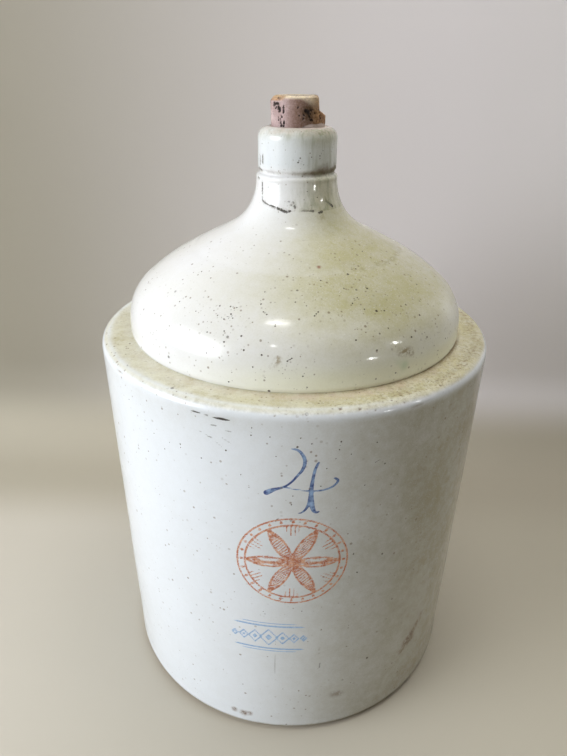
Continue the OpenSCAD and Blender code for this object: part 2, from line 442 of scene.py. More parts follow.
def build_crock():
    """Crock turned from the middle of its base, up its wall, over the ledge and down inside to its floor."""
    lean = (RIM_RADIUS - WALL_FOOT_RADIUS) / (LEDGE_HEIGHT - RIM_ROUND - FOOT_ROUND)
    inner_top = RIM_RADIUS - BODY_WALL
    inner_low = WALL_FOOT_RADIUS - BODY_WALL + lean * (FLOOR_THICK + FLOOR_FILLET - FOOT_ROUND)
    ledge_under = LEDGE_HEIGHT - LEDGE_THICK
    eave = ledge_under - inner_top + inner_foot
    foot = [WALL_FOOT_RADIUS - FOOT_ROUND, FOOT_ROUND]
    wall_fine = [WALL_FOOT_RADIUS + lean * (CROCK_FINE_FROM - FOOT_ROUND), CROCK_FINE_FROM]
    wall_top = [RIM_RADIUS, LEDGE_HEIGHT - RIM_ROUND]
    rim = [RIM_RADIUS - RIM_ROUND, LEDGE_HEIGHT - RIM_ROUND]
    seat = DOME_RADIUS - TUCK_DEPTH + SLIP_GAP
    edge = [seat + EDGE_ROUND, LEDGE_HEIGHT - EDGE_ROUND]
    fillet = [inner_low - FLOOR_FILLET, FLOOR_THICK + FLOOR_FILLET]
    outside = chain(
        arc(foot, FOOT_ROUND, -90, 0, 1 * MM),
        straight([WALL_FOOT_RADIUS, FOOT_ROUND], wall_fine, 2.6 * MM),
        straight(wall_fine, wall_top, CROCK_STEP),
        arc(rim, RIM_ROUND, 0, 90, 0.6 * MM),
        straight([rim[0], LEDGE_HEIGHT], [edge[0], LEDGE_HEIGHT], 0.9 * MM))
    inside = chain(
        straight([seat, edge[1]], [seat, seat_height], 1.5 * MM),
        straight([seat, seat_height], [inner_foot, seat_height], 4 * MM),
        straight([inner_foot, seat_height], [inner_foot, ledge_under], 5 * MM),
        straight([inner_foot, ledge_under], [inner_top, eave], 9 * MM),
        straight([inner_top, eave], [inner_low, fillet[1]], 16 * MM),
        arc(fillet, FLOOR_FILLET, 0, -90, 5 * MM),
        straight([fillet[0], FLOOR_THICK], [4 * MM, FLOOR_THICK], 18 * MM))
    profile, push = outline([
        (straight([4 * MM, 0], [foot[0], 0], 14 * MM), 0),
        (outside, 1),
        (arc(edge, EDGE_ROUND, 90, 180, 0.2 * MM), 0),
        (inside, 0)], loop=False)
    fine = np.degrees(0.95 * MM / RIM_RADIUS)
    angles = angles_round(CROCK_FINE_LEFT, CROCK_FINE_RIGHT, fine, np.degrees(5.2 * MM / RIM_RADIUS))
    angle, height = angles[None, :], profile[:, 1:]
    on_ledge = step(height, LEDGE_HEIGHT - RIM_ROUND, LEDGE_HEIGHT)
    near_seat = step(profile[:, :1], seat, seat + 6 * MM)
    depth = clay(angle, height) * step(height, 2 * MM, 14 * MM) * (1 - 0.5 * on_ledge) * near_seat
    from_seat = np.clip((profile[:, :1] - seat) / JOINT_FILLET_REACH, 0, 1)
    fillet_rise = JOINT_FILLET * (1 - from_seat) ** 2
    fillet_rise *= step(height, LEDGE_HEIGHT - 0.9 * MM, LEDGE_HEIGHT - 0.4 * MM)
    row = np.arange(len(profile))[:, None]
    profile[:, 1:] += fillet_rise * (row > 0)
    plain = turn(profile, push, angles, depth)
    chips = step(spots(plain, RIM_CHIPS) + 0.3 * wander(angle * 9, height, seed=21, rise=5 * MM), 0.6, 0.95)
    grid = turn(profile, push, angles, depth + 0.5 * MM * chips)
    piece = skin("crock", grid)

    inner = row >= len(profile) - len(inside)
    radius = profile[:, :1]
    turned = np.radians(around(angle))
    along, up = turned * radius / MM, height / MM
    numeral, numeral_load = strokes(along, up, NUMERAL)
    skip, skip_load = strokes(along, up, GLAZE_SKIPS)
    score, score_load = strokes(turned * LEDGE_MARKS_RADIUS, radius / MM, LEDGE_MARKS)
    toward_right = 0.5 + 0.5 * np.sin(np.radians(angle + 8))
    ledge = step(height, LEDGE_HEIGHT - 3 * MM, LEDGE_HEIGHT - 0.3 * MM) * (1 - inner)
    below_rim = 1 - 0.75 * step(height, LEDGE_HEIGHT - 9 * MM, LEDGE_HEIGHT - 3 * MM)
    runs = np.exp(-np.maximum(LEDGE_HEIGHT - 3 * MM - height, 0) / (15 * MM)) * (0.1 + 0.4 * toward_right)
    # Stain runs down from the ledge; the step towards the right side darkens the wall with painted shade. The
    # stain mark carries both.
    wall_stain_and_shade = np.maximum(runs * (0.3 + 0.7 * below_rim), 0.92 * step(toward_right, 0.42, 0.95) * below_rim)
    stain = np.maximum(ledge * (0.66 + 0.34 * toward_right), wall_stain_and_shade) * (1 - inner)
    pale = bell(radius, RIM_RADIUS - 5 * MM, 2.2 * MM) * ledge * (0.6 - 0.55 * step(toward_right, 0.6, 0.95))
    joint = bell(radius, seat + 0.6 * MM, 2.6 * MM) * ledge
    band = bell(radius, RIM_RADIUS - 9 * MM, 4.5 * MM) * ledge
    grime = joint * (0.25 + 0.5 * toward_right ** 2) + 0.36 * band * step(toward_right, 0.4, 0.9)
    # A dark line round the foot, stronger to the right: bare clay and dirt, and painted shade where the jug
    # stands on the floor. The grime mark carries it.
    foot_dirt_and_shade = (1 - step(height, 3 * MM, 9 * MM)) * (radius > 120 * MM) * (1 - inner)
    blush = bell(radius, seat + 4 * MM, 4 * MM) * ledge
    # Broken white along the rounded rim, strongest at the front, is a painted highlight.
    worn = bell(height, LEDGE_HEIGHT - 1.6 * MM, 1.1 * MM) * (1 - inner)
    pepper = np.interp(radius, [seat, seat + 5 * MM, RIM_RADIUS - 7 * MM, RIM_RADIUS - 2 * MM],
                       [0.6, 0.5, 1, 0.3])
    paint(
        piece, grid, numeral=numeral, numeral_load=numeral_load, skip=skip + 0.15, skip_load=skip_load,
        rosette=rosette(along - ROSETTE_PLACE[0], up - ROSETTE_PLACE[1]),
        stamp=stamp(along - STAMP_PLACE[0], up - STAMP_PLACE[1]),
        score=np.where(ledge > 0.5, score, -5), score_load=score_load, chip=chips,
        smudge=spots(grid, CROCK_SMUDGES), inner=inner, on_ledge=ledge,
        bare=(1 - step(height, 3 * MM, 5 * MM)) * (radius > 4 * MM),
        stain=stain * (1 - pale), grime=grime + foot_dirt_and_shade * (0.55 + 0.35 * toward_right),
        blush=blush * np.interp(around(angle), [-60, -20, 10, 35, 70], [0.1, 0.3, 0.8, 0.6, 0.1]),
        worn=worn * np.interp(around(angle), [-60, -25, 20, 50, 80], [0.2, 1, 1, 0.5, 0.1]),
        speckled=ledge * pepper * (0.15 + 0.85 * step(toward_right, 0.5, 0.9)))
    mark_specks(piece, grid, angles, int(np.argmax(profile[:, 1])), CROCK_SPECKS)
    return piece


def build_dome():
    """Ogee shell turned as a closed loop: up its outside, round the socket and down its inside."""
    tuck_curve = (TUCK_HEIGHT ** 2 + TUCK_DEPTH ** 2) / (2 * TUCK_DEPTH)
    tuck_turn = np.degrees(np.arcsin(TUCK_HEIGHT / tuck_curve))
    tuck_radius = DOME_RADIUS - TUCK_DEPTH
    inner_shoulder, inner_crown = SHOULDER_CURVE - DOME_WALL, CROWN_CURVE - DOME_WALL
    inner_throat = THROAT_CURVE + DOME_WALL
    outside = chain(
        arc([DOME_RADIUS - tuck_curve, LEDGE_HEIGHT + TUCK_HEIGHT], tuck_curve, -tuck_turn, 0, 0.8 * MM),
        straight([DOME_RADIUS, LEDGE_HEIGHT + TUCK_HEIGHT], [DOME_RADIUS, shoulder_centre[1]], 1.2 * MM),
        ogee(1.2 * MM),
        arc(throat_centre, THROAT_CURVE, slope_angle + 180, JOINT_ANGLE + 180, 1 * MM))
    inside = chain(
        arc(throat_centre, inner_throat, spigot_angle + 180, slope_angle + 180, 4 * MM),
        arc(crown_centre, inner_crown, slope_angle, SHOULDER_TURN, 7 * MM),
        arc(shoulder_centre, inner_shoulder, SHOULDER_TURN, 0, 5 * MM),
        straight([inner_foot, shoulder_centre[1]], [inner_foot, seat_height], 6 * MM))
    profile, push = outline([
        (straight([tuck_radius, seat_height], [tuck_radius, LEDGE_HEIGHT], 1.5 * MM), 0),
        (outside, 1),
        (straight(neck_joint, [socket_radius, neck_joint[1]], 1.3 * MM), 0),
        (straight([socket_radius, neck_joint[1]], [socket_radius, spigot_foot], 2.5 * MM), 0),
        (straight([socket_radius, spigot_foot], [spigot_bore, spigot_foot], 2.5 * MM), 0),
        (inside, 0),
        (straight([inner_foot, seat_height], [tuck_radius, seat_height], 4 * MM), 0)], loop=True)
    angles = angles_round(-100, 100, np.degrees(1.35 * MM / DOME_RADIUS), np.degrees(4 * MM / DOME_RADIUS))
    angle, height = angles[None, :], profile[:, 1:]
    crease = bell(height, TURNING_LINE, 1.2 * MM) * (profile[:, :1] > neck_joint[0])
    depth = clay(angle, height) * step(height, LEDGE_HEIGHT, LEDGE_HEIGHT + 8 * MM) + 0.25 * MM * crease
    grid = turn(profile, push, angles, depth)
    piece = skin("dome", grid, loop=True)

    outer = (np.arange(len(profile)) < len(outside) + 3)[:, None]
    toward_right = np.sin(np.radians(angle - 8))
    tint = step(TURNING_LINE - height, 0.5 * MM, 2 * MM) * step(height, TURNING_LINE - 26 * MM, TURNING_LINE)
    tint = 0.18 * tint * step(toward_right, -0.9, -0.2) * (1 - step(toward_right, 0.1, 0.5))
    # The lowest part of the dome is painted lighter from the front round to the right: painted light.
    low = step(-height, -LEDGE_HEIGHT - 26 * MM, -LEDGE_HEIGHT - 6 * MM)
    foot = 1 - step(height, LEDGE_HEIGHT + 0.4 * MM, LEDGE_HEIGHT + 2 * MM)
    line = bell(height, TURNING_LINE - 0.8 * MM, 1.3 * MM)
    grime = foot * (0.05 + 0.15 * step(toward_right, 0, 1)) + 0.4 * line * step(toward_right, -0.1, 0.4)
    seam, _ = strokes(np.radians(around(angle)) * profile[:, :1] / MM, height / MM, NECK_SEAM)
    paint(
        piece, grid, stain=(cast(angle, height) + tint) * outer, grime=grime * outer, inner=~outer,
        foot_light=low * step(toward_right, -0.8, 0.1) * outer, seam=seam + 0.35,
        smudge=spots(grid, DOME_SMUDGES), red_spot=spots(grid, DOME_RED_SPOTS),
        green_spot=spots(grid, DOME_GREEN_SPOTS), thick=spots(grid, DOME_SPECK_CLUSTERS))
    mark_specks(piece, grid, angles, len(outside) + 2, DOME_SPECKS)
    return piece


def build_neck():
    """Neck and collar turned as a closed loop: up neck, ridge, groove and collar, and down the bore."""
    ridge = [RIDGE_RADIUS - RIDGE_ROUND, ridge_height]
    groove = [COLLAR_RADIUS - GROOVE_DEPTH + GROOVE_ROUND, groove_height]
    groove_side = np.degrees(np.arccos((groove[0] - COLLAR_RADIUS) / GROOVE_ROUND))
    collar_foot = groove_height + polar(GROOVE_ROUND, groove_side)[1]
    ridge_start = -30
    ridge_low = ridge_height + polar(RIDGE_ROUND, ridge_start)[1]
    neck_top = np.degrees(np.arcsin((ridge_low - neck_centre[1]) / NECK_CURVE))
    mouth_edge = [MOUTH_RADIUS + MOUTH_ROUND, lip_height - MOUTH_ROUND]
    flare_top = spigot_foot + BORE_FLARE
    grain = 0.5 * MM
    outside = soften(chain(
        arc(throat_centre, THROAT_CURVE, JOINT_ANGLE + 180, NECK_LEAN + 180, grain),
        arc(neck_centre, NECK_CURVE, NECK_LEAN + 180, 180 - neck_top, grain),
        arc(ridge, RIDGE_ROUND, ridge_start, 90, 0.4 * MM)[1:],
        straight([ridge[0], ridge_height + RIDGE_ROUND],
                 [COLLAR_RADIUS - GROOVE_DEPTH, groove_height], grain),
        arc(groove, GROOVE_ROUND, 180, 180 - groove_side, 0.4 * MM),
        straight([COLLAR_RADIUS, collar_foot], [COLLAR_RADIUS, lip_height - LIP_ROUND], 0.55 * MM),
        arc([COLLAR_RADIUS - LIP_ROUND, lip_height - LIP_ROUND], LIP_ROUND, 0, 90, grain),
        straight([COLLAR_RADIUS - LIP_ROUND, lip_height], [mouth_edge[0], lip_height], grain),
        arc(mouth_edge, MOUTH_ROUND, 90, 180, 0.35 * MM)), 2)
    spigot_radius = socket_radius - SLIP_GAP
    profile, push = outline([
        (outside, 1),
        (straight(outside[-1], [MOUTH_RADIUS, flare_top], 1.8 * MM), 0),
        (straight([MOUTH_RADIUS, flare_top], [spigot_bore, spigot_foot], 2 * MM), 0),
        (straight([spigot_bore, spigot_foot], [spigot_radius, spigot_foot], 2 * MM), 0),
        (straight([spigot_radius, spigot_foot], [spigot_radius, neck_joint[1]], 2 * MM), 0),
        (straight([spigot_radius, neck_joint[1]], neck_joint, 1.3 * MM), 0)], loop=True)
    angles = np.arange(-180, 180, 1.5)
    angle, height = angles[None, :], profile[:, 1:]
    radius = profile[:, :1]
    bore_clear = step(radius, mouth_edge[0] - 0.5 * MM, mouth_edge[0] + 1.5 * MM)
    seam, seam_load = strokes(np.radians(angle) * radius / MM, height / MM, NECK_SEAM)
    depth = clay(angle, height) * bore_clear + 0.25 * MM * step(seam, -0.3, 0.3)
    grid = turn(profile, push, angles, depth)
    piece = skin("neck", grid, loop=True)

    outer = (np.arange(len(profile)) < len(outside))[:, None]
    toward_right = np.sin(np.radians(angle - 5))
    above = (height - groove_height - 0.8 * MM) / MM
    groove_line = bell(above, 0, np.where(above > 0, 2.4 + 3.6 * step(toward_right, 0.1, 0.7), 1.6))
    mouth = step(height, lip_height - 1.6 * MM, lip_height)
    mouth = mouth * step(-radius, -mouth_edge[0] - 4 * MM, -mouth_edge[0] - 1 * MM)
    paint(
        piece, grid, seam=seam + 0.35, seam_load=seam_load, inner=1 - outer * bore_clear,
        lip_wear=step(height, lip_height - 5.5 * MM, lip_height - 1.5 * MM) * outer,
        on_collar=step(height, groove_height - 1 * MM, groove_height + 7 * MM),
        stain=cast(angle, height) * outer,
        grime=groove_line * (0.34 + 0.5 * step(toward_right, -0.3, 0.5)) * outer,
        crust=mouth * (0.5 + 0.5 * step(toward_right, -0.4, 0.3)))
    mark_specks(piece, grid, angles, len(outside) // 2, NECK_SPECKS)
    return piece


def ogee_distance(grid):
    """Distance of each point from the outside of the dome and neck, negative inside the clay.

    It is the least distance to the straight stretches of the outline, measured in the
    plane through the jug's axis.
    """
    profile = chain(
        ogee(3 * MM),
        arc(throat_centre, THROAT_CURVE, slope_angle + 180, NECK_LEAN + 180, 2 * MM),
        straight([NECK_RADIUS, throat_centre[1]], [COLLAR_RADIUS, groove_height], 4 * MM))
    place = np.stack([np.hypot(grid[..., 0], grid[..., 1]), grid[..., 2]], axis=2)
    best = np.full(grid.shape[:2], 1e3)
    side = np.ones(grid.shape[:2])
    for a, b in zip(profile[:-1], profile[1:]):
        run = b - a
        share = np.clip(((place - a) @ run) / (run @ run), 0, 1)[..., None]
        away = place - a - share * run
        gap = np.linalg.norm(away, axis=2)
        outward = away @ np.array([run[1], -run[0]])
        side = np.where(gap < best, np.sign(outward), side)
        best = np.minimum(best, gap)
    return best * side


def build_handle():
    """Strap swept up from the dome, over its bend and into the neck.

    The section is a flattened round, |x/a| plus |y/b|, each to the power of its squareness,
    equal to 1. It grows by a flare that dies away with the distance from the clay that it is
    pressed onto.
    """
    bend = np.array([NECK_RADIUS + STRAP_REACH, throat_centre[1] - STRAP_DROP])
    leg = bend[0] + STRAP_BEND
    path = chain(
        straight([leg, bend[1] - STRAP_LEG], [leg, bend[1]], 1 * MM),
        arc(bend, STRAP_BEND, 0, STRAP_TURN, 1 * MM))
    run = np.gradient(path, axis=0)
    run /= np.linalg.norm(run, axis=1)[:, None]
    across = np.column_stack([run[:, 1], -run[:, 0]])
    turns = np.linspace(0, 2 * np.pi, 72, endpoint=False)
    wide, thick = (np.sign(v) * np.abs(v) ** (2 / STRAP_SQUARENESS) for v in (np.cos(turns), np.sin(turns)))
    rise = path[:, 1:]
    groove = 0.6 * MM * bell(wide, 0, 0.35) * (thick > 0)
    half_wide = STRAP_WIDTH / 2 - 0.5 * MM * wander(0, rise, seed=31)
    half_thick = STRAP_THICK / 2 - 0.4 * MM * wander(60, rise, seed=32)

    def section(flare):
        x = wide * (half_wide + 1.15 * flare)
        out = thick * (half_thick + flare) - groove
        y = path[:, :1] + across[:, :1] * out
        z = path[:, 1:] + across[:, 1:] * out
        return np.stack([x * np.ones_like(y), y, z], axis=2)

    pressed = STRAP_FLARE * np.exp(-np.maximum(ogee_distance(section(0)), 0) / STRAP_FLARE_REACH)
    grid = section(pressed)
    piece = skin("strap_handle_clay", grid, sharp=70)
    grime = 0.5 * np.exp(-np.maximum(ogee_distance(grid), 0) / (1.2 * MM))
    paint(piece, grid, thin=step(np.abs(wide), 0.9, 1.0)[None, :], stain=0.35, grime=grime)
    return piece


def build_cork():
    """Tapered cork with a chunk broken off, each section a star shape about the axis.

    The radius at an angle is the lesser of the tapered radius and the distance to the broken
    face over the cosine of the angle from its side, less the depth of the pits.
    """
    spread = np.tan(np.radians(CORK_TAPER))
    lip_radius = MOUTH_RADIUS - CORK_GAP
    bottom = lip_height + CORK_PROUD - CORK_LENGTH
    top = bottom + CORK_LENGTH
    top_radius = lip_radius + CORK_PROUD * spread
    foot_radius = lip_radius - (CORK_LENGTH - CORK_PROUD) * spread
    centre = 0.6 * MM
    low_edge, high_edge = foot_radius - CORK_EDGE, top - CORK_EDGE
    profile = chain(
        straight([centre, bottom], [low_edge, bottom], 1 * MM),
        straight([low_edge, bottom], [foot_radius, bottom + CORK_EDGE], 0.5 * MM),
        straight([foot_radius, bottom + CORK_EDGE], [lip_radius, lip_height - 3 * MM], 1 * MM),
        straight([lip_radius, lip_height - 3 * MM], [top_radius, high_edge], 0.4 * MM),
        soften(chain(
            straight([top_radius, high_edge], [top_radius - CORK_EDGE, top], 0.3 * MM),
            straight([top_radius - CORK_EDGE, top], [centre, top], 0.5 * MM)), 1))
    angles = np.arange(-180, 180, 1.25)
    angle, radius, height = angles[None, :], profile[:, :1], profile[:, 1:]
    full = np.interp(height, [bottom, top], [foot_radius, top_radius])
    waist = top - BREAK_HEIGHT * (1 - BREAK_SLOPE_SHARE)
    face = np.interp(height, [top - BREAK_HEIGHT - 2 * MM, waist, top],
                     [top_radius + 2 * MM, top_radius - BREAK_REACH * BREAK_WAIST_SHARE,
                      top_radius - BREAK_REACH])
    torn = 1.1 * MM * (wander(angle * 4, height, seed=51, rise=9 * MM) - 0.6)
    a = np.radians(angle)
    facing = np.maximum(np.cos(a - np.radians(BREAK_SIDE)), 0.02)
    limit = np.minimum(full, (face + torn) / facing)
    bevel = TOP_BEVEL_SLOPE * (height - top + TOP_BEVEL_HEIGHT) * step(-np.sin(a), 0.35, 0.9)
    limit = np.minimum(limit, full - np.maximum(bevel, 0))
    broken = step(full - limit, 0, 0.5 * MM) * step(radius / full, 0.72, 0.97)
    draw = np.random.default_rng(52)
    pores = []
    for _ in range(PORES):
        x, z = draw.uniform(-56, 56), draw.uniform(-18, 16)
        tall, half = draw.uniform(0.2, 1.4), draw.uniform(0.15, 0.4)
        pores.append([(x, z, half, 0.5), (x + draw.uniform(-0.4, 0.4), z + tall, half, 0.5)])
    pit, _ = strokes(a * lip_radius / MM, (height - lip_height) / MM, CORK_PITS + pores)
    side = step(radius, 0.9 * full, 0.97 * full)
    sunk = np.clip(pit + 0.25, 0, 0.9) * MM * side
    lift = step(height, lip_height - 2 * MM, lip_height + 2 * MM)
    rough = 0.3 * MM * wander(angle * 3, height, seed=53, waves=9, rise=6 * MM) * lift
    r = radius / full * (limit - sunk - rough)
    cap = (radius < full * 0.97) & (height > lip_height)
    sag = 0.35 * MM * wander(angle * 2, radius * 3, seed=54, rise=12 * MM) * cap
    grid = np.stack([r * np.sin(a), -r * np.cos(a), height - sag], axis=2)
    piece = skin("cork", grid, sharp=60)

    # The cork is pale on its left side and darker over the rest: painted light and shade from one side.
    sideways = grid[..., 0] / full
    worn = 2.6 * MM + 8 * MM * step(sideways, 0, 0.8)
    rim = step(height, top - worn, top - 0.5 * MM) * (0.55 + 0.45 * step(radius / full, 0.4, 0.95))
    crust_rise = (0.6 + 2.4 * wander(angle * 2, height, seed=55)) * MM * step(np.sin(a), -0.1, 0.6)
    crust = 1 - step(height - lip_height - crust_rise, -0.3 * MM, 0.3 * MM)
    crust = crust * step(np.sin(a), -0.1, 0.5) * step(height, lip_height - 0.9 * MM, lip_height + 0.1 * MM)
    paint(
        piece, grid, pit=pit * side - 0.2 * (1 - side), broken=broken, stain=spots(grid, CORK_STAINS),
        rim=rim, soaked=step(sideways, -0.62, 0) * (1 - 0.8 * rim), scuffed=step(sideways, 0.35, 0.75),
        crust=crust)
    return piece


def rosette(x, z):
    """Depth inside the lines of a compass-drawn rosette, in mm.

    Six circles, their middles evenly spaced on a main circle of the same radius, are drawn
    where they lie inside it and make six petals. Each petal is shaded with lines that follow
    its edges, and between the petals are short strokes. Round it go two rings and a row of
    beads.
    """
    reach = np.hypot(x, z)
    bearing = np.arctan2(x, z)
    inside = reach < PETAL_REACH
    depth = 0.75 - np.abs(reach - PETAL_REACH)
    for petal in np.radians(np.arange(6) * 60 + 30):
        away = np.hypot(x - PETAL_REACH * np.sin(petal), z - PETAL_REACH * np.cos(petal))
        depth = np.where(inside, np.maximum(depth, 0.65 - np.abs(away - PETAL_REACH)), depth)
    sector = bearing % (np.pi / 3) - np.pi / 6
    u, v = reach * np.cos(sector), reach * np.sin(sector)
    half = np.sqrt(np.maximum(PETAL_REACH ** 2 - (u - PETAL_REACH / 2) ** 2, 0))
    half -= PETAL_REACH * np.sqrt(3) / 2
    lines = np.abs(np.abs(v) / np.maximum(half, 0.1) * 3 % 1 - 0.5) * np.maximum(half, 0.1) / 3
    depth = np.maximum(depth, np.where((half > 0.8) & (np.abs(v) < half) & inside, 0.42 - lines, -5))
    between = (bearing + np.pi / 6) % (np.pi / 3) - np.pi / 6
    across = np.abs(np.abs(between * reach) % 2.6 - 1.3)
    clear = np.abs(between * reach) < 0.55 * (reach - 0.6 * PETAL_REACH)
    clear = clear & inside & (reach > 0.72 * PETAL_REACH)
    depth = np.maximum(depth, np.where(clear, 0.5 - across, -5))
    depth = np.maximum(depth, 0.7 - np.abs(reach - PETAL_REACH - 5))
    beads = 28
    bead_turn = (bearing * beads / (2 * np.pi) + 0.5) % 1 - 0.5
    bead = 1.15 - np.hypot(reach - PETAL_REACH - 2.5, bead_turn * 2 * np.pi / beads * (PETAL_REACH + 2.5))
    return np.maximum(depth, bead)


def stamp(x, z):
    """Depth inside the lines of a small mark: seven diamonds in a row between pairs of rules, in mm."""
    depth = np.full(x.shape, -1e3)
    for place, size in zip((-24, -17.5, -9.6, 0, 9.6, 17.5, 24), (2.6, 4, 5.6, 7.6, 5.6, 4, 2.6)):
        edge = np.abs(x - place) / 0.8 + np.abs(z) - size
        depth = np.maximum(depth, (0.95 - np.abs(edge)) * 0.62)
        depth = np.maximum(depth, (size * 0.42 - np.abs(x - place) / 0.8 - np.abs(z)) * 0.62)
    for rise, half, width in ((11, 27, 0.8), (13.6, 22, 0.55), (-11, 27, 0.8), (-13.6, 22, 0.55)):
        taper = np.clip((half - np.abs(x)) / 5, -1, 1)
        depth = np.maximum(depth, width * taper - np.abs(z - rise))
    return depth


# Marks on the wall, rim and ledge, in degrees and mm. A stroke's points are (along, up, half width,
# load), where along is measured from the front and up is from the table, or on the ledge from the
# axis. A speck is (angle, height, size), and a spot is (angle, radius, height, size, strength).

NUMERAL = [
    [(0, 259.7, 0.6, 0.4), (3.4, 259.3, 0.9, 0.45), (6.3, 256.3, 1.05, 0.55), (8, 252.2, 1.2, 0.55),
     (7.9, 248.6, 1.15, 0.6), (6.5, 244.5, 1.0, 0.65), (4.2, 241.4, 0.85, 0.8), (1, 236.8, 0.75, 1),
     (-2, 233.8, 0.75, 1), (-5, 232, 0.8, 1), (-8.9, 230.7, 1.1, 0.8), (-11.5, 229.4, 1.7, 0.75),
     (-14.3, 227.6, 1.9, 0.85)],
    [(-3, 232.4, 0.6, 0.5), (1, 231.3, 0.55, 0.35), (7.5, 230.2, 0.55, 0.35), (12.3, 229.5, 0.7, 0.6),
     (18.4, 229.7, 0.7, 0.5), (24, 231.4, 0.75, 0.55), (27.4, 234.3, 0.8, 0.6), (28.2, 236.9, 0.95, 0.65),
     (25.9, 238.2, 0.8, 0.5)],
    [(15.9, 250, 0.8, 0.5), (13.9, 245.4, 0.95, 0.55), (12.9, 238.1, 1.05, 0.7), (12.2, 231.8, 1.35, 0.75),
     (12.2, 226.3, 1.5, 0.55), (11.2, 220, 1.2, 0.6), (9.4, 216, 0.8, 0.8), (7.4, 213.7, 0.65, 0.8),
     (4.9, 212.8, 0.45, 0.6)],
    [(12.3, 230, 1.2, 0.6), (12.8, 222, 1.4, 0.5), (13.4, 216.5, 1.6, 0.6), (15, 213.2, 1.0, 0.9),
     (17.4, 213.8, 0.7, 0.8)]]
ROSETTE_PLACE = (2, 173)
PETAL_REACH = 30.5
STAMP_PLACE = (-13, 103)
GLAZE_SKIPS = [
    [(-60, 276.3, 0.2, 1), (-57.5, 276.3, 0.6, 1), (-53.6, 275.9, 0.2, 1)],
    [(-51, 275.5, 0.4, 0.9), (-48.6, 275.5, 0.45, 0.9)],
    [(-46, 275.2, 0.2, 1), (-42.5, 275.1, 0.65, 1), (-38.5, 275.1, 0.75, 1), (-35.4, 275, 0.25, 1)],
    [(-47, 269.7, 0.35, 0.55), (-43.7, 269.9, 0.45, 0.6)],
    [(-38.3, 268, 0.3, 0.5), (-34.7, 267.3, 0.4, 0.55)],
    [(-55.5, 263.9, 0.25, 0.4), (-53.3, 263, 0.3, 0.4)],
    [(-51, 262.2, 0.3, 0.6), (-47, 260.8, 0.5, 0.6)],
    [(-40.3, 262.3, 0.3, 0.45), (-34.8, 259.4, 0.3, 0.4)],
    [(-45, 259, 0.25, 0.35), (-40.9, 256.2, 0.25, 0.4)],
    [(-8.6, 206, 0.3, 0.6), (-8.2, 208, 0.35, 0.7), (-6.6, 208.6, 0.3, 0.6)],
    [(-3.2, 207.8, 0.3, 0.6), (-2.2, 206.4, 0.35, 0.6)],
    [(-8.2, 86, 0.25, 0.35), (-8.6, 76, 0.25, 0.4), (-8.3, 64, 0.25, 0.3)],
    [(23.6, 76, 0.4, 0.6), (23.2, 71, 0.4, 0.6)],
    [(-15, 59.6, 0.35, 0.5), (-7, 59, 0.35, 0.5)]]
CROCK_SPECKS = [
    (-47.5, 264, 0.5), (-42, 266, 0.45), (-37.5, 249.5, 0.4), (-28.5, 250, 0.5), (-28.5, 247.5, 0.4),
    (-32, 248, 0.4), (-34, 241.5, 0.45), (-22.5, 244.5, 0.5), (-15.7, 254, 0.65), (-9.2, 272, 0.4),
    (-9.4, 267, 0.5), (-5, 267, 0.45), (1.4, 261, 0.8), (-3.6, 254, 0.4), (2.1, 267, 0.45), (4.7, 263, 0.5),
    (11.6, 263.5, 0.6), (11.3, 258, 0.55), (8.5, 245.5, 0.45), (7.3, 233, 0.5), (-12.2, 238.5, 0.4),
    (-10.2, 230, 0.35), (0.6, 226, 0.5), (0.3, 219.5, 0.5), (-11.9, 191, 0.4), (18.5, 230, 0.5),
    (17.3, 176, 0.6), (18.7, 159, 0.55), (3.8, 129.5, 0.4), (-6.9, 127.5, 0.35), (25.2, 68.5, 0.9),
    (34.7, 74.5, 0.6), (-1.5, 141, 0.4), (10.6, 252, 0.4), (20.7, 259.5, 0.5), (23.5, 243, 0.6),
    (20.8, 245.5, 0.35), (21.9, 246.5, 0.35), (11.5, 263, 0.45), (14.3, 254, 0.4), (27.9, 228, 0.6),
    (26.1, 169, 0.8), (17.2, 175.5, 0.5), (18.8, 158.5, 0.5), (50.9, 121, 0.6), (31.8, 121, 0.6),
    (30.6, 102.5, 0.4), (39.3, 139, 0.4)]
CROCK_SMUDGES = [
    (-16.8, 136.5, 15.6, 2.6, 1), (-13.6, 136.5, 14.2, 3.2, 1.1), (-11.4, 136.5, 15.4, 2.2, 0.9),
    (41.5, 137, 61, 4.5, 1.1), (44, 137, 66, 4.5, 1.1), (46.5, 137, 73, 4, 1), (40, 137, 54, 3.5, 0.9),
    (44.5, 137, 58, 3.5, 1), (48.5, 137.4, 80, 3, 0.8),
    (14.5, 136.6, 38, 5, 0.5), (17, 136.6, 38, 4, 0.5), (22, 136.6, 26, 4, 0.3), (26, 136.6, 27, 4, 0.3),
    (25.2, 137, 68.5, 2, 0.5), (-6, 137, 50, 3, 0.25)]
RIM_CHIPS = [(11.4, 135.6, 282.8, 1.2, 1), (16, 137, 282, 1.3, 1), (19.8, 138.6, 280.8, 1.1, 0.9),
             (31.6, 140, 278, 1.5, 1), (30.4, 139.8, 278.6, 1, 0.9), (-52, 139.5, 279.5, 1.3, 0.9),
             (-4, 138.9, 280.4, 0.9, 0.8), (40, 139.8, 277.8, 0.9, 0.9), (3.6, 139.5, 279.6, 0.8, 0.9)]
LEDGE_MARKS_RADIUS = 130
LEDGE_MARKS = [[(19.6, 131.4, 0.25, 0.8), (23, 131.8, 0.35, 1), (27.5, 131.2, 0.25, 0.8)],
               [(26.5, 134.2, 0.4, 0.6), (29, 134.4, 0.3, 0.6)],
               [(-19.5, 128, 0.6, 1), (-17.6, 128.4, 0.5, 0.8)],
               [(-13.5, 122, 0.3, 0.7), (-11, 121.6, 0.3, 0.7)], [(3, 124.5, 0.3, 0.5), (7, 124, 0.25, 0.5)],
               [(60, 131, 0.5, 0.8), (66, 130.6, 0.3, 0.6)], [(76, 129, 0.5, 0.8), (80, 128.5, 0.4, 0.7)]]

# Marks on the dome, neck and cork, written the same way. The cork's pits are strokes whose up is
# measured from the lip.

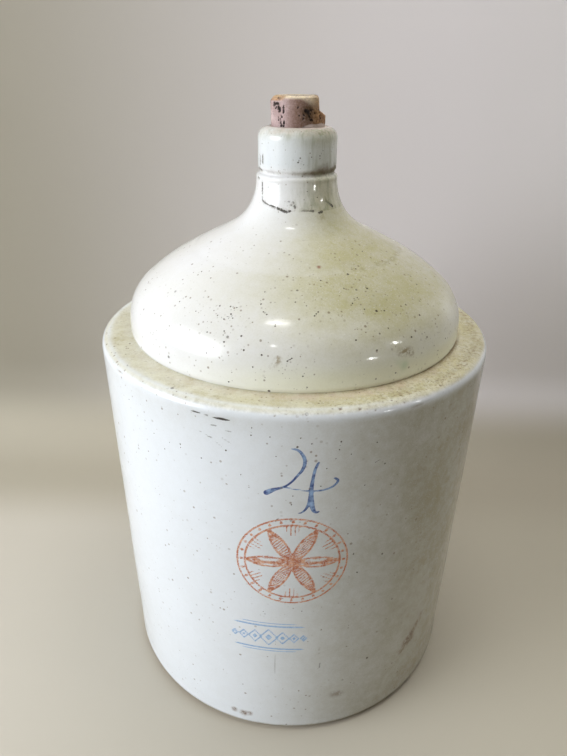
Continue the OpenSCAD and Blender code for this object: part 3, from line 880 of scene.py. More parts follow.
TURNING_LINE = 341.5 * MM
DOME_SPECKS = [
    (-44, 322, 0.5), (-46.5, 336, 0.45), (-26.8, 325, 0.55), (-22.7, 325.5, 0.6), (-20.3, 325.5, 0.5),
    (-21.4, 322.5, 0.6), (-25.9, 321, 0.5), (-23.1, 320, 0.55), (-20.3, 321, 0.5), (-34.7, 320.5, 0.45),
    (-27, 313, 0.55), (-21.5, 315, 0.5), (-15.7, 314, 0.7), (-20.6, 310, 0.65), (-14.2, 307.5, 0.6),
    (-25.6, 302.5, 0.5), (-8.9, 306, 0.65), (-11.2, 299, 0.5), (-18.3, 287.5, 0.6), (-6.6, 284.6, 0.95),
    (-1.6, 303.5, 0.5), (-0.4, 305, 0.5), (-12, 328, 0.6), (-10.5, 325, 0.5), (-9.2, 324, 0.5),
    (-5.9, 319.5, 0.6), (-11.8, 333, 0.45), (0.3, 329.5, 0.5), (11.5, 338, 0.6), (25.5, 339.5, 0.9),
    (31.7, 341, 0.6), (45.5, 347, 0.5), (30.4, 333, 0.7), (24.2, 330, 0.5), (21.4, 328, 0.6), (25, 325, 0.55),
    (29.2, 323.5, 0.9), (32.2, 323, 0.6), (42.6, 323, 0.6), (57, 328.5, 0.6), (45.5, 317, 0.7),
    (8.2, 325.5, 0.6), (6.8, 324, 0.55), (30.5, 315.5, 0.5), (18.6, 312.5, 0.55), (38, 308.5, 0.7),
    (44.6, 305.5, 0.6), (55, 298.5, 0.5), (24.7, 306, 0.6), (31, 290, 0.6), (2.7, 295, 0.5), (4, 288, 0.45)]
DOME_SMUDGES = [(-4.2, 117, 304, 2.6, 0.9), (-5.6, 118, 300, 2.6, 0.6), (32.5, 117.4, 302.5, 4, 0.6),
                (35, 117.6, 302, 3.5, 0.7), (37, 118, 300.5, 3, 0.8), (29, 34, 366, 4, 0.6),
                (24, 113, 311.5, 4.5, 0.35), (27, 113, 311.5, 4, 0.3)]
DOME_RED_SPOTS = [(12.4, 67.4, 343.4, 1.6, 1), (30, 72, 341, 2.5, 0.25), (27, 66, 344, 3, 0.3)]
DOME_GREEN_SPOTS = [(34.2, 119, 293.5, 4, 0.8), (31.5, 118.6, 297, 3, 0.4)]
DOME_SPECK_CLUSTERS = [
    (-22, 102, 322, 16, 0.9), (-22, 112, 311, 14, 0.5), (-45, 100, 323, 22, 0.35), (10, 80, 336, 16, 0.8),
    (28, 88, 332, 16, 1), (26, 98, 325, 14, 0.7), (44, 104, 320, 16, 0.6), (-10, 96, 327, 8, 0.7),
    (2, 118, 300, 14, 0.35), (60, 110, 312, 20, 0.6), (140, 100, 322, 30, 0.5), (-130, 90, 330, 30, 0.5),
    (38, 98, 325, 24, 0.5), (18, 92, 329, 18, 0.5), (-4, 100, 324, 14, 0.5), (-28, 112, 312, 20, 0.4)]
NECK_SEAM = [
    [(-27, 401, 0.35, 0.8), (-27.2, 396.5, 0.5, 0.9)], [(-31, 400, 0.3, 0.7), (-31.3, 395, 0.4, 0.8)],
    [(-34, 392.8, 0.5, 0.8), (-31.5, 391.8, 0.6, 0.9), (-29, 391.4, 0.4, 0.8)],
    [(-33.5, 387.2, 0.35, 0.9), (-32.4, 386, 0.4, 0.9), (-31, 386.6, 0.3, 0.7)],
    [(-27, 384.4, 0.35, 1), (-26.6, 380.5, 0.35, 1), (-26.2, 377.5, 0.25, 0.8)],
    [(-26.2, 376, 0.2, 0.5), (-25.6, 373.4, 0.3, 0.9), (-20, 372, 0.3, 0.8)],
    [(-18.5, 371.8, 0.3, 0.9), (-14.5, 371, 0.4, 1)],
    [(-13, 370.7, 0.4, 1), (-10, 369.8, 0.55, 1), (-6.7, 368.7, 0.6, 1), (-4, 369.4, 0.35, 1)],
    [(-5.3, 375, 0.3, 0.6), (-4.9, 374.8, 0.3, 0.6)], [(-2.3, 374.8, 0.35, 0.7), (-1.9, 374.2, 0.3, 0.7)],
    [(-3.6, 373, 0.2, 0.6), (-3.2, 372.8, 0.2, 0.6)], [(-1.2, 372.4, 0.45, 0.9), (-0.9, 371.6, 0.4, 0.9)],
    [(3.5, 369.8, 0.2, 0.5), (7.4, 369.6, 0.2, 0.5)],
    [(8.8, 369.6, 0.3, 0.7), (11.2, 369.4, 0.45, 0.8)],
    [(15.2, 368, 0.3, 0.6), (17.5, 368.6, 0.6, 0.7)],
    [(20.5, 374.4, 0.25, 0.6), (23.6, 372.9, 0.35, 0.8), (27.2, 370.6, 0.5, 1)]]
NECK_SPECKS = [(4, 401, 0.5), (1, 398.5, 0.6), (20, 401.5, 0.4), (33, 402, 0.5), (38, 405, 0.4),
               (9, 397, 0.3), (-60, 408, 0.4), (28, 377, 0.4), (14, 381, 0.3), (120, 380, 0.5),
               (-140, 402, 0.5)]
CORK_PITS = [
    [(-15.6, 16.2, 0.25, 1), (-12.9, 16.9, 0.35, 1)], [(-19.5, 12.3, 0.3, 1), (-17.8, 14.6, 0.35, 1)],
    [(-18.4, 12.6, 0.9, 1), (-17, 13, 1.0, 1)], [(-15.8, 13.4, 0.8, 1), (-13.8, 13.2, 0.9, 1)],
    [(-13.6, 11.2, 1.0, 1), (-12.8, 9.6, 1.2, 1)], [(-16.2, 10.6, 0.5, 1), (-15.4, 11.6, 0.4, 1)],
    [(-20, 8.2, 0.4, 1), (-19.6, 7.6, 0.4, 1)], [(-9.6, 12, 0.4, 1), (-9.4, 8.6, 0.5, 1)],
    [(-11.2, 6.4, 0.45, 1), (-10.8, 5.8, 0.5, 1)], [(-12.2, 4.4, 0.3, 1), (-11.8, 4.2, 0.3, 1)],
    [(-11.8, 2.6, 0.5, 1), (-11.2, 0.4, 0.7, 1)], [(-9.2, 3, 0.4, 1), (-9.5, 0.8, 0.5, 1)],
    [(4.6, 9.6, 1.1, 1), (6.2, 8.8, 1.2, 1)], [(3.2, 7.8, 0.5, 1), (3.8, 7.2, 0.5, 1)],
    [(7.8, 10.4, 0.5, 1), (8.8, 9.8, 0.5, 1)], [(6.8, 6.8, 0.6, 1), (7.4, 6, 0.5, 1)],
    [(8, 4.6, 0.7, 1), (9.2, 4.2, 0.6, 1)], [(10.4, 9, 0.35, 1), (10.8, 8.2, 0.35, 1)],
    [(14.5, 10.4, 0.5, 1), (14.9, 8.2, 0.4, 1)], [(15.4, 6.6, 0.5, 1), (16, 5, 0.4, 1)]]
CORK_STAINS = [(17, 17.8, 427, 4, 0.8), (27, 17.8, 424, 4.5, 0.8), (24, 17.8, 429, 3, 0.4),
               (36, 17.6, 427, 4, 0.4)]


# Colours of the glazes, inks, cork, paper and room

def srgb(red, green, blue):
    """Linear colour of an 8 bit sRGB one: the power of 2.4 above a short straight stretch."""
    share = np.array([red, green, blue]) / 255
    linear = np.where(share <= 0.04045, share / 12.92, ((share + 0.055) / 1.055) ** 2.4)
    return (*[float(v) for v in linear], 1.0)


BLUE_THIN, BLUE_DENSE = srgb(160, 192, 232), srgb(14, 54, 124)
STAMP_THIN, STAMP_DENSE = srgb(188, 212, 238), srgb(142, 178, 218)
RUST_THIN, RUST_DENSE = srgb(238, 198, 166), srgb(182, 98, 54)
WALL_WHITE, WALL_STAIN_AND_SHADE, WALL_DIRT_AND_SHADE = srgb(230, 235, 242), srgb(160, 154, 130), srgb(134, 116, 82)
LEDGE_STAIN, LEDGE_BLUSH, LEDGE_PEPPER = srgb(204, 197, 152), srgb(206, 184, 166), srgb(110, 86, 52)
SCUFF, SCORE, CHIP = srgb(118, 94, 72), srgb(112, 86, 58), srgb(120, 100, 72)
RIM_HIGHLIGHT_WHITE, BARE_CLAY, DULL_INSIDE = srgb(250, 250, 247), srgb(172, 150, 118), srgb(200, 190, 168)
SPECK_DARK, SPECK_TAN, SKIP_DARK = srgb(66, 54, 42), srgb(112, 92, 66), srgb(58, 52, 46)
GLAZE_WHITE, GLAZE_KHAKI, DOME_DIRT = srgb(232, 232, 235), srgb(192, 187, 145), srgb(136, 126, 86)
FOOT_WHITE_PAINTED_LIGHT, FOOT_KHAKI_PAINTED_LIGHT = srgb(250, 250, 230), srgb(208, 203, 162)
DOME_SMUDGE, RED_SPOT, GREEN_SPOT = srgb(138, 118, 72), srgb(140, 84, 62), srgb(172, 200, 160)
COLLAR_WHITE, COLLAR_STAIN, NECK_DIRT = srgb(224, 228, 232), srgb(184, 182, 152), srgb(104, 88, 68)
SEAM_HALO, LIP_TAN, OLIVE_RUN = srgb(138, 122, 96), srgb(204, 186, 172), srgb(146, 150, 122)
LIP_CRUST, BORE_DULL = srgb(230, 212, 206), srgb(186, 172, 146)
STRAP_WHITE, STRAP_STAIN, STRAP_DIRT = srgb(235, 235, 230), srgb(203, 195, 158), srgb(128, 110, 84)
STRAP_EDGE = srgb(206, 184, 146)
CORK_PAINTED_LIGHT, CORK_DARK, CORK_PAINTED_SHADE = srgb(206, 184, 184), srgb(172, 146, 144), srgb(124, 94, 78)
CORK_STAIN, CORK_RIM, CORK_CRUST = srgb(84, 62, 36), srgb(250, 234, 200), srgb(228, 212, 208)
TORN_LIGHT, TORN_DARK = srgb(206, 160, 108), srgb(128, 90, 58)
CORK_FLECK, CORK_PIT = srgb(98, 68, 50), srgb(36, 24, 20)
PAPER_LEFT, PAPER_RIGHT, PAPER_SHADE = srgb(202, 196, 184), srgb(184, 178, 162), srgb(180, 172, 158)
PAPER_FOLD_SHADE = srgb(180, 173, 157)
BACKDROP_LEFT, BACKDROP_MIDDLE, BACKDROP_RIGHT = srgb(154, 148, 134), srgb(226, 220, 221), srgb(240, 237, 236)
ROOM_PALE, ROOM_DIM, ROOM_GLOSSY = srgb(203, 199, 196), srgb(228, 224, 200), srgb(206, 202, 194)


# Node trees

# Kinds of the effects' sockets that aren't plain numbers
KINDS = {"Place": "Vector", "Centre": "Vector", "Clean": "Color", "Stained": "Color", "Dirty": "Color",
         "Colour": "Color"}


class Value:
    """What a node puts out. Adding, subtracting or multiplying it lays a math node."""

    def __init__(self, board, socket):
        self.board, self.socket = board, socket

    def __add__(self, other):
        return self.board.math("ADD", self, other)

    def __sub__(self, other):
        return self.board.math("SUBTRACT", self, other)

    def __mul__(self, other):
        return self.board.math("MULTIPLY", self, other)


class Board:
    """Lays nodes into one tree. An input is fed a Value, a number, a colour or a painted mark's name."""

    def __init__(self, tree):
        self.tree = tree

    def feed(self, socket, value):
        """Link or set one input."""
        if isinstance(value, str):
            value = self.mark(value)
        if isinstance(value, Value):
            self.tree.links.new(value.socket, socket)
        else:
            socket.default_value = value

    def put(self, kind, inputs=None, out=0, **settings):
        """Add a node with its settings, feed its inputs, and give back one output or a list of them."""
        node = self.tree.nodes.new(kind)
        for key, value in settings.items():
            setattr(node, key, value)
        for key, value in (inputs or {}).items():
            self.feed(node.inputs[key], value)
        if isinstance(out, tuple):
            return [Value(self, node.outputs[key]) for key in out]
        return Value(self, node.outputs[out])

    def math(self, operation, *values):
        """Math node over some values."""
        return self.put("ShaderNodeMath", dict(enumerate(values)), operation=operation)

    def most(self, first, *others):
        """The greatest of some values."""
        for other in others:
            first = self.math("MAXIMUM", first, other)
        return first

    def ramp(self, value, low, high, first=0, last=1):
        """Smooth step of a value from first, at low, to last, at high."""
        inputs = {"Value": value, "From Min": low, "From Max": high, "To Min": first, "To Max": last}
        return self.put("ShaderNodeMapRange", inputs, interpolation_type="SMOOTHSTEP")

    def blend(self, share, first, second):
        """Colour between first and second."""
        return self.put("ShaderNodeMix", {0: share, 6: first, 7: second}, out=2, data_type="RGBA")

    def coats(self, colour, *coats):
        """Colour under some coats, each a share and a colour, laid one over the other."""
        for share, tint in coats:
            colour = self.blend(share, colour, tint)
        return colour

    def noise(self, scale, detail=2, roughness=0.5, place=None):
        """Noise from 0 to 1 over the piece's own coordinates, or over a changed place."""
        inputs = {"Vector": place or self.place, "Scale": scale, "Detail": detail, "Roughness": roughness}
        return self.put("ShaderNodeTexNoise", inputs)

    def mark(self, name, out="Fac"):
        """A mark painted on the piece, read by its name."""
        return self.put("ShaderNodeAttribute", out=out, attribute_name=name)

    def effect(self, name, out, **inputs):
        """Place one of the shared effects with values of its own."""
        return self.put("ShaderNodeGroup", {"Place": self.place, **inputs}, out, node_tree=effects[name])

    def ink(self, name, load, raggedness, broken):
        """Mask and density of ink in a painted mark."""
        return self.effect("ink", ("Mask", "Density"), Depth=name, Load=load, Raggedness=raggedness,
                           Broken=broken)


def start_effect(name, *sockets):
    """New shader node group with inputs of these names, of which the first is its place.

    Gives back its board and the values of the other inputs.
    """
    tree = bpy.data.node_groups.new(name, "ShaderNodeTree")
    for socket in sockets:
        kind = "NodeSocket" + KINDS.get(socket, "Float")
        tree.interface.new_socket(socket, in_out="INPUT", socket_type=kind)
    board = Board(tree)
    values = board.put("NodeGroupInput", out=sockets)
    board.place = values[0]
    return board, values[1:]


def finish_effect(board, **results):
    """Put a group's results out by their names, and give back its tree."""
    for socket in results:
        kind = "NodeSocket" + KINDS.get(socket, "Float")
        board.tree.interface.new_socket(socket, in_out="OUTPUT", socket_type=kind)
    board.put("NodeGroupOutput", results, out=())
    return board.tree


def make_specks():
    """Scattered specks: cells of a Voronoi pattern, of which a share holds a round spot.

    More spots are small than large, and each has a strength of its own.
    """
    board, (cells, size, share) = start_effect("scattered_specks", "Place", "Cells", "Size", "Share")
    away, random = board.put("ShaderNodeTexVoronoi", {"Vector": board.place, "Scale": cells},
                             out=("Distance", "Color"))
    chance, bulk, tone = board.put("ShaderNodeSeparateColor", {0: random}, out=(0, 1, 2))
    reach = size * (board.math("POWER", bulk, 2.5) * 1.2 + 0.35)
    strength = board.math("LESS_THAN", chance, share) * board.ramp(tone, 0, 1, 0.25, 1)
    away = away + (board.noise(1900, 1) - 0.5) * 0.08
    return finish_effect(board, Mask=board.ramp(away, reach, reach * 0.5) * strength)


def make_listed_specks():
    """The listed specks: the distance to the stored place, against the stored size."""
    board, (centre, size, gap) = start_effect("listed_specks", "Place", "Centre", "Size", "Gap")
    away = board.put("ShaderNodeVectorMath", {0: board.place, 1: centre}, out="Value", operation="DISTANCE")
    away = away + (board.noise(1500, 1) - 0.5) * SPECK_WOBBLE
    spot = board.ramp(away, size * 1.1, size * 0.55)
    return finish_effect(board, Mask=spot * board.math("LESS_THAN", gap, SPECK_REACH))


def make_glaze_colour():
    """Colour of a fired glaze: mottled, stained where the mask and two noises let it, with pecks of dirt
    and pale flecks in the stain that are painted glints, and grimy in the hollows."""
    board, (clean, stained, dirty, stain, grime, bands, blotches) = start_effect(
        "glaze_colour", "Place", "Clean", "Stained", "Dirty", "Stain", "Grime", "Bands", "Blotches")
    squeeze = board.put("ShaderNodeCombineXYZ", {0: 1, 1: 1, 2: bands})
    drawn = board.put("ShaderNodeVectorMath", {0: board.place, 1: squeeze}, operation="MULTIPLY")
    fine = board.noise(160, 5, 0.65)
    cloud = board.ramp(board.noise(22, 4, 0.55, drawn) * 0.55 + fine * 0.45, 0.3, 0.7)
    share = board.math("MINIMUM", stain * (cloud * 0.4 + 0.7), 1)
    blotch = board.ramp(board.noise(60, 6, 0.72, drawn), 0.4, 0.78, 0, blotches) * stain
    peck = board.ramp(board.noise(900, 2, 0.6), 0.42, 0.7, 0.02, 0.16) * (stain * 0.85 + 0.15)
    # Pale flecks in the stain are painted glints.
    fleck = board.ramp(board.noise(1300, 2, 0.6), 0.58, 0.74, 0, 0.5) * stain
    dirt = board.ramp(grime + (fine - 0.5) * 0.9, 0.15, 0.95) * board.ramp(grime, 0, 0.25)
    colour = board.coats(
        clean, (cloud, board.blend(0.07, clean, stained)), (share, stained),
        (blotch, board.blend(0.5, stained, dirty)), (peck, dirty), (fleck, clean), (dirt, dirty))
    return finish_effect(board, Colour=colour, Dirt=dirt)


def make_glaze_skin():
    """Height of a glaze: slow flow, orange peel and the dents of its pinholes, in metres."""
    board, (flow, holes) = start_effect("glaze_skin", "Place", "Flow", "Holes")
    height = board.noise(60) * flow + board.noise(420) * ORANGE_PEEL + holes * -PINHOLE_DEPTH
    return finish_effect(board, Height=height)


def make_ink():
    """Brushed ink under glaze: a depth cut to a ragged edge, and a density that pools and thins."""
    board, (depth, load, raggedness, broken) = start_effect(
        "brushed_ink", "Place", "Depth", "Load", "Raggedness", "Broken")
    depth = depth + (board.noise(1100, 3, 0.6) - 0.5) * raggedness
    pool = board.ramp(board.noise(330, 3, 0.6), 0.3, 0.7, 0.35, 1.45)
    density = load * pool + board.ramp(depth, 0.2, 0.8, 0.2, 0)
    gaps = board.ramp(board.noise(700, 3, 0.7), broken, broken + 0.22)
    mask = board.ramp(depth, -0.12, 0.28) * gaps
    return finish_effect(board, Mask=mask, Density=board.math("MINIMUM", density, 1))


# Materials

def start_material(name):
    """Board of a new material, with its Principled shader and the piece's Object coordinates."""
    material = bpy.data.materials.new(name)
    material.use_nodes = True
    board = Board(material.node_tree)
    board.material = material
    board.shader = material.node_tree.nodes["Principled BSDF"].inputs
    board.place = board.put("ShaderNodeTexCoord", out="Object")
    return board


def feed_shader(board, colour, roughness, height):
    """Feed a shader's colour and roughness, and its normal from a height in metres."""
    bump = board.put("ShaderNodeBump", {"Height": height, "Distance": 1, "Strength": 1})
    for key, value in (("Base Color", colour), ("Roughness", roughness), ("Normal", bump)):
        board.feed(board.shader[key], value)
    return board.material


def start_glaze(board, clean, stained, dirty, bands, blotches):
    """Colour of a glaze that the piece's own stain and grime change, and where it is dirty."""
    return board.effect("colour", ("Colour", "Dirt"), Clean=clean, Stained=stained, Dirty=dirty,
                        Stain="stain", Grime="grime", Bands=bands, Blotches=blotches)


def speckle(board, colour, share, cells):
    """Colour under brown fine specks, dark coarse ones and the listed ones, and the mask of the dark ones."""
    share = board.ramp(board.noise(28, 3), 0.36, 0.64, 0.25, 1.6) * share
    fine = board.effect("specks", "Mask", Cells=cells * 3.8, Size=0.3, Share=share * 1.4)
    coarse = board.effect("specks", "Mask", Cells=cells * 1.3, Size=0.115, Share=share * 0.6)
    listed = board.effect("listed", "Mask", Centre=board.mark("speck_place", "Vector"), Size="speck_size",
                          Gap="speck_gap")
    holes = board.most(coarse * 0.72, listed * 0.92)
    return board.coats(colour, (fine * 0.65, SPECK_TAN), (holes, SPECK_DARK)), holes


def crock_glaze():
    """Bluish white glaze with the painted marks under it and a stained ledge.

    It has skips, smudges and specks on the wall, and painted shade on the wall's right side;
    pepper, blush and scores on the ledge; chips on the rim and white flecks along it that are a
    painted highlight; a bare foot with a dark line that is dirt and painted shade; and a dull inside.
    """
    board = start_material("crock_glaze")
    ledge, chip, bare = board.mark("on_ledge"), board.mark("chip"), board.mark("bare")
    # The wall's stained colour also gives the painted shade on its right side.
    colour, dirt = start_glaze(board, WALL_WHITE, board.blend(ledge, WALL_STAIN_AND_SHADE, LEDGE_STAIN), WALL_DIRT_AND_SHADE,
                               bands=1, blotches=ledge * 0.73 + 0.22)
    for name, load, thin, dense, ragged, broken in (
            ("numeral", "numeral_load", BLUE_THIN, BLUE_DENSE, 0.4, 0),
            ("rosette", 0.7, RUST_THIN, RUST_DENSE, 0.8, 0.27),
            ("stamp", 0.8, STAMP_THIN, STAMP_DENSE, 0.5, 0.2)):
        mask, density = board.ink(name, load, ragged, broken)
        colour = board.blend(mask * 0.94, colour, board.blend(density, thin, dense))
    skip = board.ink("skip", "skip_load", 0.5, 0.15)[0] * board.mark("skip_load")
    fuzz = board.ramp(board.noise(330, 6, 0.8), 0.38, 0.53)
    blush = board.ramp(board.noise(120, 3), 0.3, 0.7, 0.3, 0.85) * board.mark("blush")
    pepper = board.ramp(board.noise(420, 6, 0.8), 0.48, 0.64, 0, 0.85) * board.mark("speckled")
    pepper = pepper * board.ramp(board.noise(55, 3), 0.35, 0.6, 0.35, 1)
    colour = board.coats(colour, (skip, SKIP_DARK), (board.ramp("smudge", 0.1, 1, 0, 0.95) * fuzz, SCUFF),
                         (blush, LEDGE_BLUSH), (pepper, LEDGE_PEPPER))
    colour, holes = speckle(board, colour, ledge * 0.9 + 0.13, 95)
    score = board.ink("score", 1, 0.9, 0.25)[0] * board.mark("score_load") * 0.8
    # White flecks on the rim are a painted highlight.
    worn = board.ramp(board.noise(260, 3, 0.65), 0.42, 0.64, 0.1, 0.5) * board.mark("worn")
    colour = board.coats(colour, (score, SCORE), (worn, RIM_HIGHLIGHT_WHITE), (chip * 0.85, CHIP), (bare, BARE_CLAY),
                         (board.mark("inner") * 0.85, DULL_INSIDE))
    smooth = board.ramp(board.noise(45, 3), 0.3, 0.7, 0.13, 0.21)
    roughness = board.ramp(board.most(dirt, chip, bare, skip), 0, 1, smooth, 0.62)
    height = board.effect("skin", "Height", Flow=CROCK_FLOW, Holes=holes) - skip * SKIP_DEPTH
    return feed_shader(board, colour, roughness, height)


def dome_glaze():
    """White glaze stained yellow green to the right and towards the top, with clustered pinholes.

    Its foot is lighter at the front and right, which is painted light, and it has smudges, a red
    and a green spot and the joint's broken line.
    """
    board = start_material("dome_glaze")
    colour, dirt = start_glaze(
        board, board.blend("foot_light", GLAZE_WHITE, FOOT_WHITE_PAINTED_LIGHT),
        board.blend("foot_light", GLAZE_KHAKI, FOOT_KHAKI_PAINTED_LIGHT), DOME_DIRT, bands=3, blotches=0.2)
    smudge = board.ramp("smudge", 0.15, 0.9, 0, 0.8) * board.ramp(board.noise(420, 4, 0.7), 0.36, 0.62)
    seam = board.ink("seam", 1, 1.3, 0.25)[0] * 0.85
    colour = board.coats(colour, (smudge, DOME_SMUDGE), (board.ramp("red_spot", 0.15, 1, 0, 0.9), RED_SPOT),
                         (board.ramp("green_spot", 0.1, 1, 0, 0.5), GREEN_SPOT), (seam, SKIP_DARK))
    colour, holes = speckle(board, colour, board.mark("thick") * 0.75 + 0.2, 110)
    colour = board.blend(board.mark("inner") * 0.85, colour, DULL_INSIDE)
    roughness = board.ramp(dirt, 0, 1, board.ramp(board.noise(45, 3), 0.3, 0.7, 0.1, 0.18), 0.6)
    height = board.effect("skin", "Height", Flow=DOME_FLOW, Holes=holes)
    return feed_shader(board, colour, roughness, height)


def neck_glaze():
    """The dome's glaze, bluish on the collar, with a worn lip, olive runs, a grimy groove, a crust at
    the mouth, and a broken joint line with a halo of dirt."""
    board = start_material("neck_glaze")
    colour, dirt = start_glaze(
        board, board.blend("on_collar", GLAZE_WHITE, COLLAR_WHITE),
        board.blend("on_collar", GLAZE_KHAKI, COLLAR_STAIN), NECK_DIRT, bands=1.5, blotches=0.25)
    seam = board.ink("seam", 1, 1.3, 0.25)[0] * board.mark("seam_load")
    halo = board.ramp("seam", -1.6, 0.2, 0, 0.35) * board.ramp(board.noise(500, 4, 0.7), 0.4, 0.65)
    wear = board.ramp(board.noise(160, 4), 0.3, 0.7, 0.15, 0.6) * board.mark("lip_wear")
    streak = board.put("ShaderNodeMapping", {"Vector": board.place, "Scale": (1, 1, 0.12)})
    run = board.ramp(board.noise(420, 3, 0.6, streak), 0.42, 0.7, 0, 0.9) * board.mark("stain")
    colour = board.coats(colour, (halo, SEAM_HALO), (seam, SKIP_DARK), (wear, LIP_TAN), (run, OLIVE_RUN))
    colour, holes = speckle(board, colour, 0.3, 170)
    crust = board.ramp(board.noise(300, 3), 0.3, 0.6, 0.4, 1) * board.mark("crust")
    colour = board.coats(colour, (crust, LIP_CRUST), (board.mark("inner") * 0.8, BORE_DULL))
    roughness = board.ramp(board.most(dirt, seam), 0, 1, 0.12, 0.6)
    height = board.effect("skin", "Height", Flow=NECK_FLOW, Holes=holes)
    return feed_shader(board, colour, roughness, height)


def handle_glaze():
    """White glaze, thin and tan along the strap's edges and dirty where it meets the clay."""
    board = start_material("handle_glaze")
    colour, dirt = start_glaze(board, STRAP_WHITE, STRAP_STAIN, STRAP_DIRT, bands=1, blotches=0.25)
    thin = board.ramp(board.noise(260, 4), 0.35, 0.7) * board.mark("thin") * 0.55
    speck = board.effect("specks", "Mask", Cells=120, Size=0.12, Share=0.25)
    colour = board.coats(colour, (thin, STRAP_EDGE), (speck * 0.8, SPECK_DARK))
    height = board.effect("skin", "Height", Flow=HANDLE_FLOW, Holes=speck)
    return feed_shader(board, colour, board.ramp(dirt, 0, 1, 0.13, 0.6), height)


def cork_bark():
    """Dry cork: pinkish tan and pale on its left side, which is painted light, darker over the rest,
    which is painted shade, darker still where it is stained, and pale at the rim.

    It is orange brown where it is torn or scuffed, flecked all over, black in its pits and
    crusted where it stood against the lip.
    """
    board = start_material("cork")
    broad, fine, tooth = board.noise(120, 4, 0.6), board.noise(700, 4, 0.7), board.noise(900, 3, 0.7)
    # Painted shade over all but the left side, whose pale colour is painted light.
    soaked = board.ramp(fine, 0.2, 0.6, 0.6, 0.95) * board.mark("soaked")
    stain = board.math("MINIMUM", board.ramp(fine, 0.3, 0.65, 0.35, 0.95) * board.mark("stain"), 0.85)
    rim = board.ramp(fine, 0.3, 0.7, 0.55, 1) * board.mark("rim")
    scuffed = board.ramp(broad, 0.3, 0.6, 0.3, 0.8) * board.mark("scuffed")
    torn = board.most(board.mark("broken") * 0.75, scuffed)
    fleck = board.ramp(board.noise(1500, 3, 0.7), 0.56, 0.68, 0, 0.6)
    pit = board.ramp(board.mark("pit") + (tooth - 0.5) * 3.2, -0.1, 0.2)
    colour = board.coats(
        CORK_PAINTED_LIGHT, (board.ramp(broad, 0.3, 0.7), CORK_DARK), (soaked, CORK_PAINTED_SHADE), (stain, CORK_STAIN),
        (rim, CORK_RIM), (torn, board.blend(board.ramp(fine, 0.35, 0.65), TORN_LIGHT, TORN_DARK)),
        (fleck, CORK_FLECK), (pit * 0.95, CORK_PIT), (board.mark("crust") * 0.85, CORK_CRUST))
    height = fine * BARK_RELIEF - pit * BARK_PIT_DEPTH
    return feed_shader(board, colour, board.ramp(fine, 0.2, 0.8, 0.75, 0.95), height)


# Floor, backdrop, lamps and camera

def place_sheet(name, points, faces, upright):
    """Sheet of paper that belongs to the stage."""
    mesh = bpy.data.meshes.new(name)
    mesh.from_pydata(points, [], faces)
    mesh.polygons.foreach_set("use_smooth", np.full(len(faces), upright))
    sheet = bpy.data.objects.new(name, mesh)
    bpy.context.collection.objects.link(sheet)
    mesh.materials.append(stage_material(name + "_paper", upright))


def build_stage():
    """Plain pale floor, and behind the jug a plain sweep that is clear when seen from its back."""
    corners = ((-1, -1), (1, -1), (1, 1), (-1, 1))
    points = [(x * FLOOR_REACH, y * FLOOR_REACH, -FLOOR_DROP) for x, y in corners]
    place_sheet("floor", points, [(0, 1, 2, 3)], False)
    curve = chain(
        straight([SWEEP_FROM - 20 * MM, 0], [SWEEP_FROM, 0], 20 * MM),
        arc([SWEEP_FROM, SWEEP_CURVE], SWEEP_CURVE, -90, 0, 10 * MM),
        straight([SWEEP_FROM + SWEEP_CURVE, SWEEP_CURVE], [SWEEP_FROM + SWEEP_CURVE, SWEEP_TOP], 100 * MM))
    points = [(x, float(y), float(z)) for y, z in curve for x in (-SWEEP_HALF, SWEEP_HALF)]
    faces = [(2 * i, 2 * i + 1, 2 * i + 3, 2 * i + 2) for i in range(len(curve) - 1)]
    place_sheet("backdrop", points, faces, True)


def stage_material(name, upright):
    """Matt paper, painted lighter to the left and darker to the right, and with painted shade right
    behind the jug.

    Upright it changes with height too, to painted shade on its left and painted light on its
    right, and it is clear from the back. Far from the jug the camera sees it fade into the pale room.
    """
    board = start_material(name)
    board.feed(board.shader["Roughness"], 0.9)
    board.feed(board.shader["Specular IOR Level"], 0.1)
    away = board.put("ShaderNodeVectorMath", {0: board.place}, out="Value", operation="LENGTH")
    across, behind, rise = board.put("ShaderNodeSeparateXYZ", {0: board.place}, out=(0, 1, 2))
    painted_fold_shade = board.ramp(behind, 0.08, 0.17) * board.ramp(away, 1.2, 0.5)
    # On the floor, lighter to the left and darker to the right, and darker just behind the jug: painted light
    # and shade.
    colour = board.coats(PAPER_LEFT, (board.ramp(across, -0.35, 0.35), PAPER_RIGHT), (painted_fold_shade, PAPER_FOLD_SHADE))
    if upright:
        # On the backdrop, darker on the left and lighter to the right: painted shade and light.
        wall = board.coats(BACKDROP_LEFT, (board.ramp(across, -0.4, 0.2), BACKDROP_MIDDLE),
                           (board.ramp(across, 0.1, 0.6), BACKDROP_RIGHT))
        colour = board.blend(board.ramp(rise, 0.015, 0.07), colour, wall)
    colour = board.blend(board.ramp(board.noise(3), 0.2, 0.8, 0, 0.06), colour, PAPER_SHADE)
    board.feed(board.shader["Base Color"], colour)
    nodes = board.tree.nodes
    paper = Value(board, nodes["Principled BSDF"].outputs[0])
    far = board.ramp(away, 0.8, 1.8) * board.put("ShaderNodeLightPath", out="Is Camera Ray")
    room = board.put("ShaderNodeEmission", {0: ROOM_PALE})
    seen = board.put("ShaderNodeMixShader", {0: far, 1: paper, 2: room})
    if upright:
        back = board.put("ShaderNodeNewGeometry", out="Backfacing")
        seen = board.put("ShaderNodeMixShader", {0: back, 1: seen, 2: board.put("ShaderNodeBsdfTransparent")})
    board.feed(nodes["Material Output"].inputs["Surface"], seen)
    return board.material


